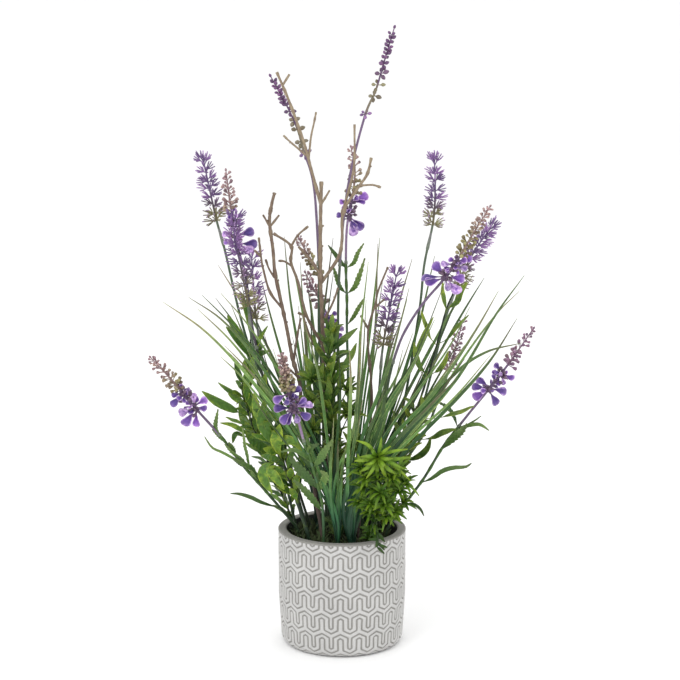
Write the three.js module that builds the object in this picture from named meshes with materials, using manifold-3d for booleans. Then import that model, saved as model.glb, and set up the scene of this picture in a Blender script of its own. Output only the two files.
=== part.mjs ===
// A potted lavender: an artificial arrangement of lavender picks, salvia picks, grass, fern and
// bare twigs, pushed into a foam plug inside a round cement pot. Millimetres, +Z up. The origin is
// the centre of the pot's flat underside, -Y is the front of the arrangement.
import * as THREE from "three";
import { mergeVertices } from "three/addons/utils/BufferGeometryUtils.js";
import Module from "manifold-3d";

// Driving dimensions of the pot and its filling
const CLEARANCE = 0.3;
const POT_HEIGHT = 117;
const POT_RADIUS = 64;
const FOOT_RADIUS = 61.5;
const FOOT_ROUNDING = 9;
const SIDE_TURN_HEIGHT = 52;
const WALL = 8.5;
const POT_FLOOR = 10;
const CAVITY_FOOT_RADIUS = 53;
const RIM_ROUNDING = 1.6;
const FOAM_TOP = 96;
const MOSS_RADIUS = 50;
const MOSS_SHIFT = -4;
const MOSS_THICKNESS = 9;
const MOSS_EDGE_HEIGHT = 3.6;
const MOSS_EDGE_ROUNDING = 10;

// Driving dimensions of the picks
const SOCKET_FLOOR = 70;
const STEM_RADIUS = 1.7;
const SPINE_RADIUS = 1.3;
const SHEATH_RADIUS = 2.6;
const SHEATH_LENGTH = 24;
const SLEEVE_WALL = 1;
const ROD_SIDES = 6;
const STEP_LENGTH = 28;
const SHORT_STEP_LENGTH = 12;
const BUNDLE_RADIUS = 4;
const BUNDLE_STAND_OUT = 8;
const GRASS_WIDTH = 3.4;
const GRASS_THICKNESS = 0.45;
const LEAF_THICKNESS = 0.5;
const LEAF_BOW = 0.12;
const FROND_WIDTH = 4;
const DRAPE_WIDTH = 6;
const EDGE_HALF_WIDTH = 0.3;

// Driving dimensions of the flower heads; a lean is an angle from the stem in radians, and the
// overhang of a petal ring is a share of its stem
const NEEDLE_REACH = 12;
const NEEDLE_LIFT = 5;
const BUD_REACH = 6.5;
const BUD_LIFT = 1.5;
const SALVIA_REACH = 4.8;
const SALVIA_LIFT = 1.5;
const PETAL_WIDTH = 7;
const PETAL_THICKNESS = 1.2;
const PETAL_LEAN = 1.4;
const RING_OVERHANG = 0.004;
const FROND_LEAN = 1.15;
const GOLDEN_ANGLE = Math.PI * (3 - Math.sqrt(5));

// How the reach of a flower head changes along it, as shares of its full reach
const NEEDLE_FOOT = 0.75;
const NEEDLE_SWELL = 0.35;
const NEEDLE_TAPER = 0.3;
const BUD_TAPER = 0.5;
const SALVIA_TAPER = 0.25;
const NEEDLE_SPINE_SHARE = 0.96;

// How finely round and curved shapes are stepped
const NEEDLE_SIDES = 8;
const NEEDLE_RINGS = 12;
const BUD_SIDES = 6;
const BUD_RINGS = 10;
const SALVIA_SIDES = 4;
const SALVIA_RINGS = 14;
const POT_SEGMENTS = 40;
const FILLING_SEGMENTS = 24;
const BUNDLE_SIDES = 8;
const ROUNDING_STEPS = 3;
const GRASS_STEPS = 7;
const LEAF_STEPS = 3;
const FROND_STEPS = 2;
const DRAPE_STEPS = 4;

// Colours
const CEMENT = 0xc9c7c1;
const FOAM_GREEN = 0x3a4630;
const MOSS_GREEN = 0x4c5a2a;
const STEM_GREEN = 0x5d7a4a;
const STEM_PURPLE = 0x6a4a78;
const NEEDLE_PURPLE = 0x7a5aa8;
const BUD_TAN = 0x9a7a6c;
const PETAL_VIOLET = 0x5a3aa8;
const SALVIA_PURPLE = 0x6a4470;
const TWIG_BROWN = 0x8a6a52;
const GRASS_GREEN = 0x55703c;
const LEAF_GREEN = 0x4f8a35;
const DARK_LEAF_GREEN = 0x35602c;
const FERN_GREEN = 0x5fa03a;

// Each pick's route runs from its socket in the foam to its tip. The stem ends at the height head.
const NEEDLE_PICKS = {
  needle_1: { head: 420, route: [[-40, 6, 70], [-45, 7, 108], [-66, 8, 200], [-86, 14, 275],
    [-102, 26, 329], [-117, 39, 392], [-125, 45, 420], [-132, 50, 451], [-140, 56, 488]] },
  needle_2: { head: 344, route: [[-28, -22, 70], [-31, -22, 104], [-52, -17, 180], [-79, -12, 250],
    [-84, -14, 285], [-89, -16, 320], [-92, -17, 350], [-99, -18, 388], [-104, -19, 412],
    [-102, -20, 436]] },
  needle_3: { head: 320, route: [[-34, 24, 70], [-37, 26, 104], [-58, 30, 190], [-77, 32, 265],
    [-83, 36, 300], [-87, 40, 330], [-89, 44, 358], [-91, 46, 390]] },
  needle_4: { head: 413, route: [[32, 16, 70], [35, 18, 104], [46, 22, 175], [63, 30, 240],
    [78, 48, 329], [83, 57, 374], [92, 65, 417], [94, 71, 448], [93, 78, 485]] },
  needle_5: { head: 300, route: [[16, 6, 70], [18, 6, 104], [28, 7, 180], [36, 8, 245],
    [40, 10, 295], [47, 12, 335], [55, 16, 377]] },
  needle_6: { head: 352, route: [[28, 29, 70], [31, 31, 104], [52, 34, 158], [76, 42, 212],
    [92, 53, 267], [106, 62, 321], [123, 69, 364], [139, 75, 392], [155, 80, 413]] },
};

// petals: [height on the stem of the lowest and highest petal, petal count, petal length]
// leaves: [height on the stem, points that the leaf runs through, width]
const BUD_PICKS = {
  bud_1: {
    head: 270, petals: [246, 269, 10, 16],
    route: [[-36, -6, 70], [-42, -3, 106], [-47, -3, 119], [-59, -7, 135], [-77, -14, 159],
      [-98, -24, 187], [-117, -35, 217], [-141, -47, 249], [-163, -59, 280], [-182, -68, 304]],
    sleeve: [140, 221],
    leaves: [[212, [[-122, -39, 226], [-122, -42, 236], [-120, -44, 248]], 5.5],
      [186, [[-102, -32, 193], [-117, -35, 203], [-127, -36, 208], [-134, -37, 219]], 3],
      [146, [[-76, -22, 153], [-91, -26, 161], [-110, -28, 162]], 4],
      [176, [[-93, -30, 199], [-95, -34, 212], [-97, -34, 227]], 6],
      [162, [[-88, -24, 182], [-97, -30, 190], [-108, -36, 198]], 8],
      [178, [[-98, -30, 194], [-108, -36, 204], [-114, -40, 212]], 7],
      [150, [[-68, -18, 160], [-79, -22, 170], [-90, -26, 178]], 7]],
  },
  bud_2: {
    head: 274, petals: [251, 273, 10, 16],
    route: [[-18, -36, 70], [-18, -38, 104], [-19, -45, 149], [-25, -52, 179], [-32, -60, 206],
      [-37, -64, 222], [-42, -68, 243], [-46, -72, 256], [-52, -78, 279], [-57, -84, 310]],
    sleeve: [141, 222],
    leaves: [[168, [[-33, -55, 182], [-43, -59, 194], [-51, -61, 206]], 10],
      [166, [[-19, -51, 176], [-16, -55, 185], [-21, -57, 190]], 8],
      [144, [[-28, -49, 158], [-38, -53, 171], [-47, -55, 180]], 7.5],
      [192, [[-21, -61, 203], [-16, -63, 212], [-9, -65, 223]], 8],
      [206, [[-32, -63, 213], [-28, -65, 216], [-22, -66, 219]], 6],
      [198, [[-38, -64, 208], [-48, -66, 213], [-59, -66, 211]], 4],
      [214, [[-38, -62, 228], [-44, -60, 240], [-46, -58, 250]], 6]],
  },
  bud_3: {
    head: 434, petals: [400, 432, 10, 16],
    route: [[-26, 4, 70], [-29, 3, 104], [-45, -1, 160], [-62, -4, 215], [-76, -3, 262],
      [-85, 2, 302], [-91, 7, 335], [-93, 8, 357], [-97, 10, 379], [-102, 10, 398],
      [-108, 9, 433], [-113, 8, 474]],
  },
  bud_4: {
    head: 399, petals: [373, 397, 12, 18],
    route: [[24, -5, 70], [27, -5, 104], [33, -5, 140], [40, -9, 206], [45, -16, 266],
      [55, -24, 307], [66, -29, 331], [80, -35, 353], [96, -40, 373], [110, -45, 394],
      [125, -52, 422], [139, -60, 447]],
  },
  bud_5: {
    head: 276, petals: [249, 273, 10, 17],
    route: [[35, -7, 70], [42, -6, 105], [49, -4, 122], [66, 2, 144], [83, 5, 167],
      [101, 12, 196], [116, 16, 215], [130, 20, 232], [147, 25, 252], [169, 33, 279],
      [193, 44, 311]],
    sleeve: [136, 217],
    leaves: [[138, [[70, -2, 141], [78, -6, 137], [82, -8, 130]], 2.8],
      [161, [[90, 0, 167], [100, -2, 175], [111, -4, 179], [123, -5, 180], [129, -5, 184]], 4],
      [192, [[110, 8, 205], [119, 7, 213], [125, 8, 221]], 9],
      [213, [[128, 10, 219], [138, 8, 220], [147, 8, 214]], 3.4],
      [214, [[128, 12, 220], [139, 8, 229]], 2.2],
      [215, [[111, 12, 229], [104, 10, 238], [95, 10, 243]], 5],
      [150, [[80, 0, 166], [92, 2, 180], [100, 4, 192]], 6]],
  },
  bud_6: {
    head: 443, petals: [418, 441, 10, 15],
    route: [[8, 24, 70], [8, 26, 104], [7, 38, 190], [6, 49, 267], [5, 55, 307], [5, 56, 338],
      [4, 60, 370], [5, 65, 411], [11, 69, 444], [13, 71, 469], [9, 74, 491]],
    sleeve: [322, 374],
    leaves: [[344, [[-2, 54, 352], [-6, 52, 364], [-9, 51, 374]], 5.5],
      [344, [[13, 54, 352], [18, 52, 365], [23, 50, 382]], 8],
      [370, [[-1, 59, 376], [-8, 58, 386], [-14, 57, 394]], 4],
      [370, [[12, 58, 376], [16, 57, 386], [22, 56, 396]], 6],
      [324, [[14, 52, 336], [20, 51, 349], [24, 50, 358]], 6]],
  },
  bud_7: {
    head: 360,
    route: [[-12, 34, 70], [-13, 36, 104], [-16, 46, 180], [-18, 58, 260], [-21, 64, 310],
      [-24, 70, 362], [-35, 74, 382], [-45, 78, 400]],
  },
  bud_8: {
    head: 323, petals: [298, 322, 8, 13],
    route: [[2, 40, 70], [2, 42, 104], [-2, 58, 160], [-8, 78, 231], [-8, 90, 285],
      [-14, 98, 312], [-26, 104, 335], [-38, 108, 358]],
  },
  bud_9: {
    head: 256,
    route: [[20, 38, 70], [22, 39, 104], [28, 43, 122], [50, 57, 150], [84, 76, 192], [99, 86, 225],
      [109, 92, 252], [118, 98, 280], [126, 106, 308]],
  },
};

const SALVIA_PICKS = {
  salvia_1: { head: 524, route: [[4, 2, 70], [3, 2, 104], [-1, 4, 180], [-4, 9, 265],
    [-4, 13, 315], [-3, 18, 365], [2, 24, 429], [10, 27, 478], [23, 32, 527], [33, 34, 550],
    [41, 38, 577], [51, 42, 610]] },
  salvia_2: { head: 486, route: [[-14, 14, 70], [-15, 14, 104], [-18, 15, 180], [-20, 19, 263],
    [-23, 24, 313], [-23, 28, 373], [-26, 32, 437], [-30, 35, 467], [-38, 36, 491],
    [-44, 38, 512], [-56, 40, 538], [-70, 42, 563]] },
};

// A twig is a trunk and its branches, each with its radius
const TWIGS = {
  twig_1: [
    [2.3, [[-6, -6, 70], [-7, -6, 104], [-12, -6, 167], [-16, -6, 228], [-18, -6, 279],
      [-19, -7, 319], [-21, -8, 369], [-21, -8, 418], [-20, -8, 465]]],
    [1.6, [[-21, -8, 444], [-29, -9, 474], [-37, -11, 504], [-50, -14, 541], [-62, -17, 570]]],
    [1.2, [[-57, -16, 557], [-50, -20, 568]]],
    [1.2, [[-34, -10, 490], [-50, -14, 504], [-56, -16, 510]]],
    [1.2, [[-32, -9, 488], [-30, -4, 507], [-27, 0, 521], [-25, 2, 531]]],
    [1.2, [[-20, -8, 443], [-12, -13, 457]]],
    [1.4, [[-21, -8, 374], [-31, -13, 389], [-42, -18, 403]]],
    [1.7, [[-21, -8, 365], [-4, -12, 391], [0, -14, 409], [1, -15, 436], [14, -17, 458],
      [24, -18, 473], [28, -19, 489]]],
    [1.2, [[17, -17, 462], [29, -20, 463], [37, -23, 461]]],
    [1.4, [[1, -15, 438], [11, -12, 477], [12, -8, 520]]],
    [1.3, [[-19, -8, 326], [-9, -12, 347], [-4, -15, 362]]],
    [1.7, [[-19, -7, 304], [-35, -3, 333], [-43, 0, 365], [-50, 1, 385], [-50, 2, 401], [-67, 4, 413]]],
    [1.3, [[-50, 2, 400], [-43, -2, 412], [-33, -5, 421]]],
    [1.2, [[-49, 1, 381], [-56, -1, 386], [-62, -3, 387]]],
    [1.2, [[-34, -3, 331], [-43, -6, 336]]],
    [1.3, [[-18, -7, 290], [-29, -11, 308], [-38, -14, 334]]],
  ],
  twig_2: [
    [2, [[-16, -26, 70], [-18, -27, 104], [-28, -29, 170], [-39, -30, 234], [-41, -31, 269],
      [-48, -33, 296], [-53, -35, 324], [-58, -36, 349], [-64, -38, 378], [-66, -39, 403],
      [-69, -41, 430], [-67, -42, 446], [-64, -44, 458]]],
    [1.2, [[-68, -40, 424], [-75, -44, 437]]],
    [1.2, [[-68, -41, 426], [-60, -37, 436]]],
    [1.3, [[-57, -36, 345], [-69, -40, 362], [-75, -44, 384], [-77, -46, 396], [-79, -49, 416]]],
    [1.2, [[-77, -46, 397], [-83, -50, 404]]],
    [1.2, [[-65, -38, 376], [-70, -40, 385], [-73, -41, 394]]],
    [1.4, [[-47, -33, 292], [-44, -31, 314], [-40, -29, 335]]],
    [1.2, [[-43, -32, 277], [-53, -36, 288]]],
  ],
  twig_3: [
    [1.9, [[14, -14, 70], [15, -15, 104], [22, -19, 170], [29, -22, 252], [25, -24, 317],
      [32, -27, 347], [35, -29, 362], [44, -31, 385]]],
    [1.2, [[26, -24, 322], [18, -27, 337]]],
    [1.2, [[31, -27, 344], [41, -26, 353]]],
  ],
};

// A tuft of grass is a bundle at its foot and the blades that arch out of it
const GRASS_TUFTS = {
  grass_front_right: { foot: [9, -43], blades: [
    [[9, -44, 106], [7, -48, 157], [12, -50, 228], [16, -48, 282], [18, -45, 326], [25, -42, 392]],
    [[9, -43, 106], [9, -47, 157], [19, -50, 219], [35, -52, 264], [48, -52, 303], [64, -48, 368]],
    [[11, -42, 106], [14, -44, 167], [29, -43, 227], [51, -42, 267], [72, -40, 301], [99, -36, 372]],
    [[9, -45, 106], [6, -51, 159], [38, -46, 221], [76, -60, 277], [102, -70, 317], [120, -76, 354]],
    [[9, -46, 106], [8, -49, 158], [46, -54, 219], [88, -58, 268], [124, -60, 324], [148, -62, 367]],
    [[11, -43, 106], [14, -46, 157], [58, -46, 218], [109, -46, 277], [146, -46, 340], [174, -44, 379]],
    [[12, -42, 106], [18, -43, 152], [68, -38, 211], [112, -32, 256], [144, -28, 293], [170, -24, 334]],
    [[10, -41, 106], [16, -41, 146], [62, -30, 222], [108, -20, 276], [140, -14, 298], [177, -6, 306]],
    [[9, -42, 106], [12, -46, 140], [18, -50, 170], [22, -54, 196]],
  ] },
  grass_front_left: { foot: [-4, -43], blades: [
    [[-4, -42, 106], [-8, -44, 152], [-50, -52, 229], [-91, -58, 285], [-130, -62, 328], [-170, -64, 357]],
    [[-5, -44, 106], [-7, -47, 157], [-41, -45, 232], [-81, -40, 296], [-114, -42, 335], [-147, -44, 358]],
    [[-3, -44, 106], [-4, -47, 157], [-36, -42, 230], [-70, -35, 284], [-104, -28, 325], [-136, -24, 357]],
    [[-4, -44, 106], [-8, -45, 152], [-46, -43, 215], [-83, -50, 272], [-101, -56, 298], [-118, -60, 316]],
    [[-4, -44, 106], [-11, -45, 150], [-29, -43, 189], [-50, -42, 228], [-65, -38, 267], [-78, -36, 311]],
    [[-4, -43, 106], [-8, -46, 152], [-12, -48, 198], [-19, -46, 258], [-25, -44, 292], [-39, -38, 341]],
    [[-3, -43, 106], [-9, -47, 153], [-4, -50, 189], [8, -54, 219], [15, -55, 259], [19, -54, 340]],
    [[-4, -43, 106], [-2, -47, 150], [0, -50, 190], [4, -54, 214]],
  ] },
  grass_back_right: { foot: [21, 17], blades: [
    [[20, 17, 106], [20, 24, 159], [26, 34, 219], [30, 42, 269], [34, 48, 319], [36, 54, 396]],
    [[20, 18, 106], [24, 26, 158], [34, 36, 218], [45, 46, 278], [56, 56, 328], [71, 64, 379]],
    [[21, 18, 106], [27, 22, 158], [44, 28, 210], [64, 34, 272], [80, 42, 326], [93, 50, 384]],
    [[22, 17, 106], [26, 26, 150], [53, 32, 220], [89, 40, 290], [114, 46, 335], [132, 50, 365]],
    [[22, 17, 106], [30, 22, 158], [53, 20, 211], [78, 23, 257], [99, 26, 306], [120, 30, 358]],
    [[23, 17, 106], [28, 24, 150], [61, 30, 216], [98, 33, 287], [123, 35, 332], [142, 36, 364]],
    [[23, 16, 106], [34, 14, 150], [76, 16, 212], [120, 16, 284], [152, 16, 329], [175, 14, 354]],
    [[20, 17, 106], [17, 28, 150], [16, 56, 203], [25, 76, 274], [33, 88, 335], [39, 98, 396]],
  ] },
  grass_back_left: { foot: [-24, 21], blades: [
    [[-25, 21, 106], [-30, 24, 150], [-42, 30, 210], [-70, 44, 281], [-102, 54, 336], [-125, 60, 373]],
    [[-26, 20, 106], [-30, 20, 150], [-50, 20, 212], [-80, 22, 268], [-104, 26, 314], [-126, 28, 345]],
    [[-25, 21, 106], [-30, 25, 158], [-52, 26, 215], [-74, 23, 267], [-90, 24, 312], [-101, 25, 360]],
    [[-24, 21, 106], [-28, 28, 158], [-43, 36, 218], [-57, 42, 269], [-71, 48, 319], [-81, 52, 359]],
    [[-24, 22, 106], [-27, 27, 150], [-32, 40, 208], [-43, 56, 279], [-53, 70, 339], [-59, 84, 399]],
    [[-24, 21, 106], [-26, 26, 158], [-30, 34, 219], [-34, 42, 269], [-39, 50, 329], [-42, 54, 377]],
    [[-24, 21, 106], [-25, 28, 158], [-26, 38, 218], [-25, 50, 277], [-17, 60, 337], [-9, 66, 400]],
    [[-23, 22, 106], [-23, 30, 150], [-25, 60, 207], [-32, 88, 266], [-42, 108, 320], [-52, 122, 368]],
    [[-23, 22, 106], [-25, 32, 150], [-24, 68, 202], [-20, 98, 262], [-20, 118, 312], [-24, 130, 352]],
  ] },
};

// Leafy sprays: a stem with leaves moulded on it, given as a bud pick's leaves are
const SPRAYS = {
  leaf_spray_dark: {
    route: [[34, 4, 70], [37, 5, 104], [50, 6, 155], [68, 8, 215], [85, 10, 268], [94, 12, 300],
      [103, 14, 335], [110, 16, 352]],
    leaves: [[335, [[101, 10, 345], [99, 9, 354], [99, 8, 365]], 4.5],
      [336, [[113, 9, 344], [117, 7, 355], [123, 5, 365]], 6],
      [300, [[87, 8, 309], [82, 6, 323], [78, 5, 336]], 4.5],
      [301, [[104, 9, 307], [113, 7, 319], [125, 5, 332]], 5.5],
      [270, [[94, 6, 275], [101, 4, 284], [105, 3, 296]], 7],
      [262, [[74, 6, 290], [80, 5, 310], [90, 4, 330]], 5],
      [269, [[77, 6, 280], [73, 4, 291], [71, 3, 305]], 6],
      [226, [[92, 2, 228], [104, -1, 231], [118, -3, 236], [131, -4, 242]], 6.5],
      [204, [[88, 0, 208], [101, -3, 215], [113, -5, 219]], 6],
      [214, [[76, -4, 228], [80, -8, 242], [78, -10, 254]], 10],
      [196, [[58, -6, 212], [52, -10, 226], [50, -12, 240]], 10],
      [182, [[74, -6, 190], [84, -12, 200], [90, -16, 212]], 10],
      [172, [[49, -12, 186], [47, -20, 198], [45, -27, 208]], 9],
      [238, [[66, 16, 246], [58, 24, 254], [52, 30, 262]], 8],
      [222, [[80, 18, 228], [88, 28, 236], [94, 36, 246]], 8],
      [164, [[62, 16, 170], [70, 26, 178], [76, 34, 188]], 8],
      [148, [[58, -2, 154], [68, -8, 162], [76, -12, 172]], 8]],
  },
  leaf_spray_broad: {
    route: [[-27, -31, 70], [-30, -33, 104], [-44, -36, 153], [-60, -37, 200], [-70, -38, 232]],
    leaves: [[200, [[-72, -42, 222], [-78, -44, 239], [-74, -46, 259]], 11],
      [222, [[-62, -43, 240], [-66, -45, 252], [-75, -47, 266], [-75, -47, 276], [-72, -47, 287]], 10],
      [196, [[-64, -46, 214], [-62, -50, 225], [-60, -52, 235]], 11],
      [194, [[-64, -44, 211], [-56, -48, 218], [-47, -50, 217], [-39, -50, 208]], 8.5],
      [194, [[-70, -44, 188], [-64, -48, 180], [-56, -50, 169]], 8.5],
      [196, [[-75, -42, 190], [-76, -44, 178], [-68, -46, 164]], 10],
      [216, [[-78, -30, 232], [-84, -24, 246], [-86, -20, 260]], 9],
      [204, [[-50, -28, 214], [-42, -22, 226], [-40, -18, 240]], 9],
      [180, [[-43, -27, 188], [-38, -19, 196], [-33, -12, 206]], 8],
      [166, [[-58, -42, 172], [-68, -46, 180], [-76, -50, 190]], 8],
      [142, [[-50, -40, 148], [-58, -44, 156], [-64, -48, 166]], 7]],
  },
  leaf_spray_left: {
    route: [[-44, 18, 70], [-46, 17, 104], [-66, 16, 160], [-88, 14, 214], [-99, 12, 252],
      [-95, 11, 268], [-90, 10, 288], [-91, 11, 306]],
    leaves: [[214, [[-98, 8, 229], [-107, 6, 235], [-125, 3, 245], [-139, 1, 256]], 8.5],
      [228, [[-98, 10, 246], [-104, 8, 250], [-112, 6, 255], [-123, 4, 264]], 5],
      [212, [[-88, 8, 238], [-94, 4, 254], [-97, 2, 264]], 9],
      [236, [[-96, 10, 262], [-93, 6, 273], [-88, 4, 282]], 6.5],
      [184, [[-80, 4, 199], [-89, 0, 208], [-96, -2, 214]], 12],
      [256, [[-95, 6, 263], [-88, 3, 273], [-87, 2, 284]], 6],
      [286, [[-101, 0, 305], [-114, -5, 322]], 5.5],
      [295, [[-104, 4, 317], [-113, 2, 332]], 5.5],
      [304, [[-93, 13, 326], [-96, 14, 340], [-101, 15, 353]], 5],
      [196, [[-92, 22, 210], [-100, 30, 222], [-104, 36, 236]], 8]],
  },
};

// Ferns carry whorls of narrow fronds: [height, frond count, frond length]
const FERNS = {
  fern_front: {
    route: [[24, -30, 70], [25, -32, 104], [29, -46, 130], [34, -60, 150], [36, -67, 174],
      [34, -70, 208]],
    whorls: [[130, 5, 16], [148, 5, 22], [166, 5, 24], [184, 4, 24], [206, 7, 28]],
    drape: [[29, -46, 130], [33, -60, 126], [34, -68, 118], [33, -71, 108]],
  },
  fern_middle: {
    route: [[-2, -22, 70], [-3, -24, 104], [-7, -27, 160], [-10, -29, 230], [-12, -29, 280],
      [-11, -28, 318]],
    whorls: [[130, 4, 16], [156, 4, 18], [182, 4, 21], [208, 4, 24], [236, 5, 26], [264, 5, 24],
      [292, 4, 22], [316, 3, 20]],
  },
};

const wasm = await Module();
wasm.setup();

// A closed geometry as a solid that can be joined and cut
function solid(geometry) {
  const bare = geometry.clone();
  bare.deleteAttribute("normal");
  bare.deleteAttribute("uv");
  const merged = mergeVertices(bare, 1e-4);
  return new wasm.Manifold(
    new wasm.Mesh({
      numProp: 3,
      vertProperties: merged.attributes.position.array,
      triVerts: new Uint32Array(merged.index.array),
    }),
  );
}

function join(solids) {
  return solids.reduce((whole, piece) => whole.add(piece));
}

function named(name, body, colour, roughness) {
  const { vertProperties, triVerts } = body.getMesh();
  const geometry = new THREE.BufferGeometry();
  geometry.setAttribute("position", new THREE.BufferAttribute(vertProperties, 3));
  geometry.setIndex(new THREE.BufferAttribute(triVerts, 1));
  const flat = geometry.toNonIndexed();
  flat.computeVertexNormals();
  const material = new THREE.MeshStandardMaterial({ color: colour, roughness, metalness: 0 });
  const mesh = new THREE.Mesh(flat, material);
  mesh.name = name;
  return mesh;
}

function smooth(points) {
  const places = points.map((p) => new THREE.Vector3(...p));
  return new THREE.CatmullRomCurve3(places, false, "catmullrom", 0.5);
}

// The stretch of a curve between two of its parameters
class Stretch extends THREE.Curve {
  constructor(whole, from, to) {
    super();
    this.whole = whole;
    this.from = from;
    this.to = to;
  }

  getPoint(t, target = new THREE.Vector3()) {
    return this.whole.getPoint(this.from + (this.to - this.from) * t, target);
  }
}

// The parameter at which a rising curve reaches a height
function atHeight(curve, height) {
  let low = 0;
  let high = 1;
  while (high - low > 1e-6) {
    const middle = (low + high) / 2;
    if (curve.getPoint(middle).z < height) low = middle;
    else high = middle;
  }
  return low;
}

// A rod of even thickness along a curve
function rod(curve, radius, stepLength = STEP_LENGTH) {
  const corners = [];
  for (let i = 0; i < ROD_SIDES; i += 1) {
    const angle = (i * 2 * Math.PI) / ROD_SIDES;
    corners.push(new THREE.Vector2(radius * Math.cos(angle), radius * Math.sin(angle)));
  }
  const steps = Math.max(1, Math.round(curve.getLength() / stepLength));
  return solid(
    new THREE.ExtrudeGeometry(new THREE.Shape(corners), { steps, extrudePath: curve, bevelEnabled: false }),
  );
}

// A flat blade along a curve, as wide to each side as halfWidth says, with a diamond section
function blade(curve, side, halfWidth, thickness, steps) {
  const geometry = new THREE.CylinderGeometry(0.5, 0.5, 1, 4, steps);
  const position = geometry.attributes.position;
  for (let i = 0; i < position.count; i += 1) {
    const t = position.getY(i) + 0.5;
    const along = curve.getTangent(t);
    const across = side.clone().addScaledVector(along, -side.dot(along)).normalize();
    const face = new THREE.Vector3().crossVectors(along, across);
    const place = curve.getPoint(t);
    place.addScaledVector(across, 2 * position.getX(i) * halfWidth(t));
    place.addScaledVector(face, -2 * position.getZ(i) * thickness);
    position.setXYZ(i, place.x, place.y, place.z);
  }
  return solid(geometry);
}

// The horizontal direction square to a line between two points
function sideways(from, to) {
  const side = new THREE.Vector3(-(to.y - from.y), to.x - from.x, 0);
  return side.lengthSq() < 1 ? new THREE.Vector3(1, 0, 0) : side.normalize();
}

// A leaf whose midrib runs through some points, widest near its middle
function leaf(points, width, steps = LEAF_STEPS) {
  const curve = smooth(points);
  const halfWidth = (t) => EDGE_HALF_WIDTH + (width / 2) * Math.sin(Math.PI * t ** 0.75);
  const side = sideways(curve.getPoint(0), curve.getPoint(1));
  return blade(curve, side, halfWidth, LEAF_THICKNESS, steps);
}

function grassBlade(points) {
  const curve = smooth(points);
  const taper = (t) => Math.sqrt(1 - t) * Math.min(1, 0.5 + 3 * t);
  const halfWidth = (t) => EDGE_HALF_WIDTH + (GRASS_WIDTH / 2) * taper(t);
  const side = sideways(curve.getPoint(0), curve.getPoint(1));
  return blade(curve, side, halfWidth, GRASS_THICKNESS, GRASS_STEPS);
}

// A direction that leans away from a curve's tangent, at an angle round it
function leaning(along, angle, lean) {
  const square = new THREE.Vector3(1, 0, 0).cross(along).normalize();
  square.applyAxisAngle(along, angle);
  return along.clone().multiplyScalar(Math.cos(lean)).addScaledVector(square, Math.sin(lean));
}

// A flower head is a closed skin round its spine whose points stand out in turn, up and around it
function knobblyHead(curve, sides, rings, inner, outer, lift) {
  const geometry = new THREE.CylinderGeometry(1, 1, 1, sides, rings);
  const position = geometry.attributes.position;
  const square = new THREE.Vector3();
  for (let i = 0; i < position.count; i += 1) {
    const t = position.getY(i) + 0.5;
    const along = curve.getTangent(t);
    const place = curve.getPoint(t);
    const angle = Math.atan2(position.getX(i), position.getZ(i));
    const onAxis = Math.hypot(position.getX(i), position.getZ(i)) < 0.5;
    if (!onAxis) {
      const side = Math.round((angle * sides) / (2 * Math.PI));
      const ring = Math.round(t * rings);
      const isEnd = ring === 0 || ring === rings;
      const standsOut = !isEnd && (side + ring) % 2 === 0;
      square.copy(leaning(along, angle, Math.PI / 2));
      place.addScaledVector(square, standsOut ? outer(t) : inner);
      if (standsOut) place.addScaledVector(along, lift);
    }
    position.setXYZ(i, place.x, place.y, place.z);
  }
  return solid(geometry);
}

function needleHead(curve) {
  const spine = new Stretch(curve, 0, NEEDLE_SPINE_SHARE);
  const share = (t) => NEEDLE_FOOT + NEEDLE_SWELL * Math.sin(Math.PI * t) - NEEDLE_TAPER * t;
  const reach = (t) => NEEDLE_REACH * share(t);
  return knobblyHead(spine, NEEDLE_SIDES, NEEDLE_RINGS, SPINE_RADIUS, reach, NEEDLE_LIFT);
}

function budHead(curve) {
  const reach = (t) => BUD_REACH * (1 - BUD_TAPER * t);
  return knobblyHead(curve, BUD_SIDES, BUD_RINGS, SPINE_RADIUS, reach, BUD_LIFT);
}

function salviaHead(curve) {
  const reach = (t) => SALVIA_REACH * (1 - SALVIA_TAPER * t);
  return knobblyHead(curve, SALVIA_SIDES, SALVIA_RINGS, SPINE_RADIUS, reach, SALVIA_LIFT);
}

// What is threaded on a stem has a hole with clearance for it
function threaded(pieces, stem) {
  return join(pieces).subtract(rod(stem, STEM_RADIUS + CLEARANCE));
}

// A petal is a flat kite that stands out from its stem
function petal(curve, t, angle, length) {
  const along = curve.getTangent(t);
  const direction = leaning(along, angle, PETAL_LEAN);
  const across = new THREE.Vector3().crossVectors(along, direction).normalize();
  const face = new THREE.Vector3().crossVectors(direction, across);
  const reach = (length - STEM_RADIUS) / 2;
  const body = new THREE.OctahedronGeometry(1);
  body.scale(reach, PETAL_WIDTH / 2, PETAL_THICKNESS / 2);
  body.applyMatrix4(new THREE.Matrix4().makeBasis(direction, across, face));
  const centre = curve.getPoint(t).addScaledVector(direction, STEM_RADIUS + reach);
  body.translate(centre.x, centre.y, centre.z);
  return solid(body);
}

function petalWhorl(curve, stem, [low, high, count, length]) {
  const from = atHeight(curve, low);
  const to = atHeight(curve, high);
  const ring = new Stretch(curve, from - RING_OVERHANG, to);
  const pieces = [rod(ring, STEM_RADIUS + CLEARANCE + SLEEVE_WALL)];
  for (let i = 0; i < count; i += 1) {
    pieces.push(petal(curve, from + ((to - from) * i) / count, i * GOLDEN_ANGLE, length));
  }
  return threaded(pieces, stem);
}

function leafOn(curve, [height, points, width], offset) {
  const foot = curve.getPoint(atHeight(curve, height));
  const outward = new THREE.Vector3(...points[0]).sub(foot).normalize();
  return leaf([foot.addScaledVector(outward, offset), ...points], width);
}

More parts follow.
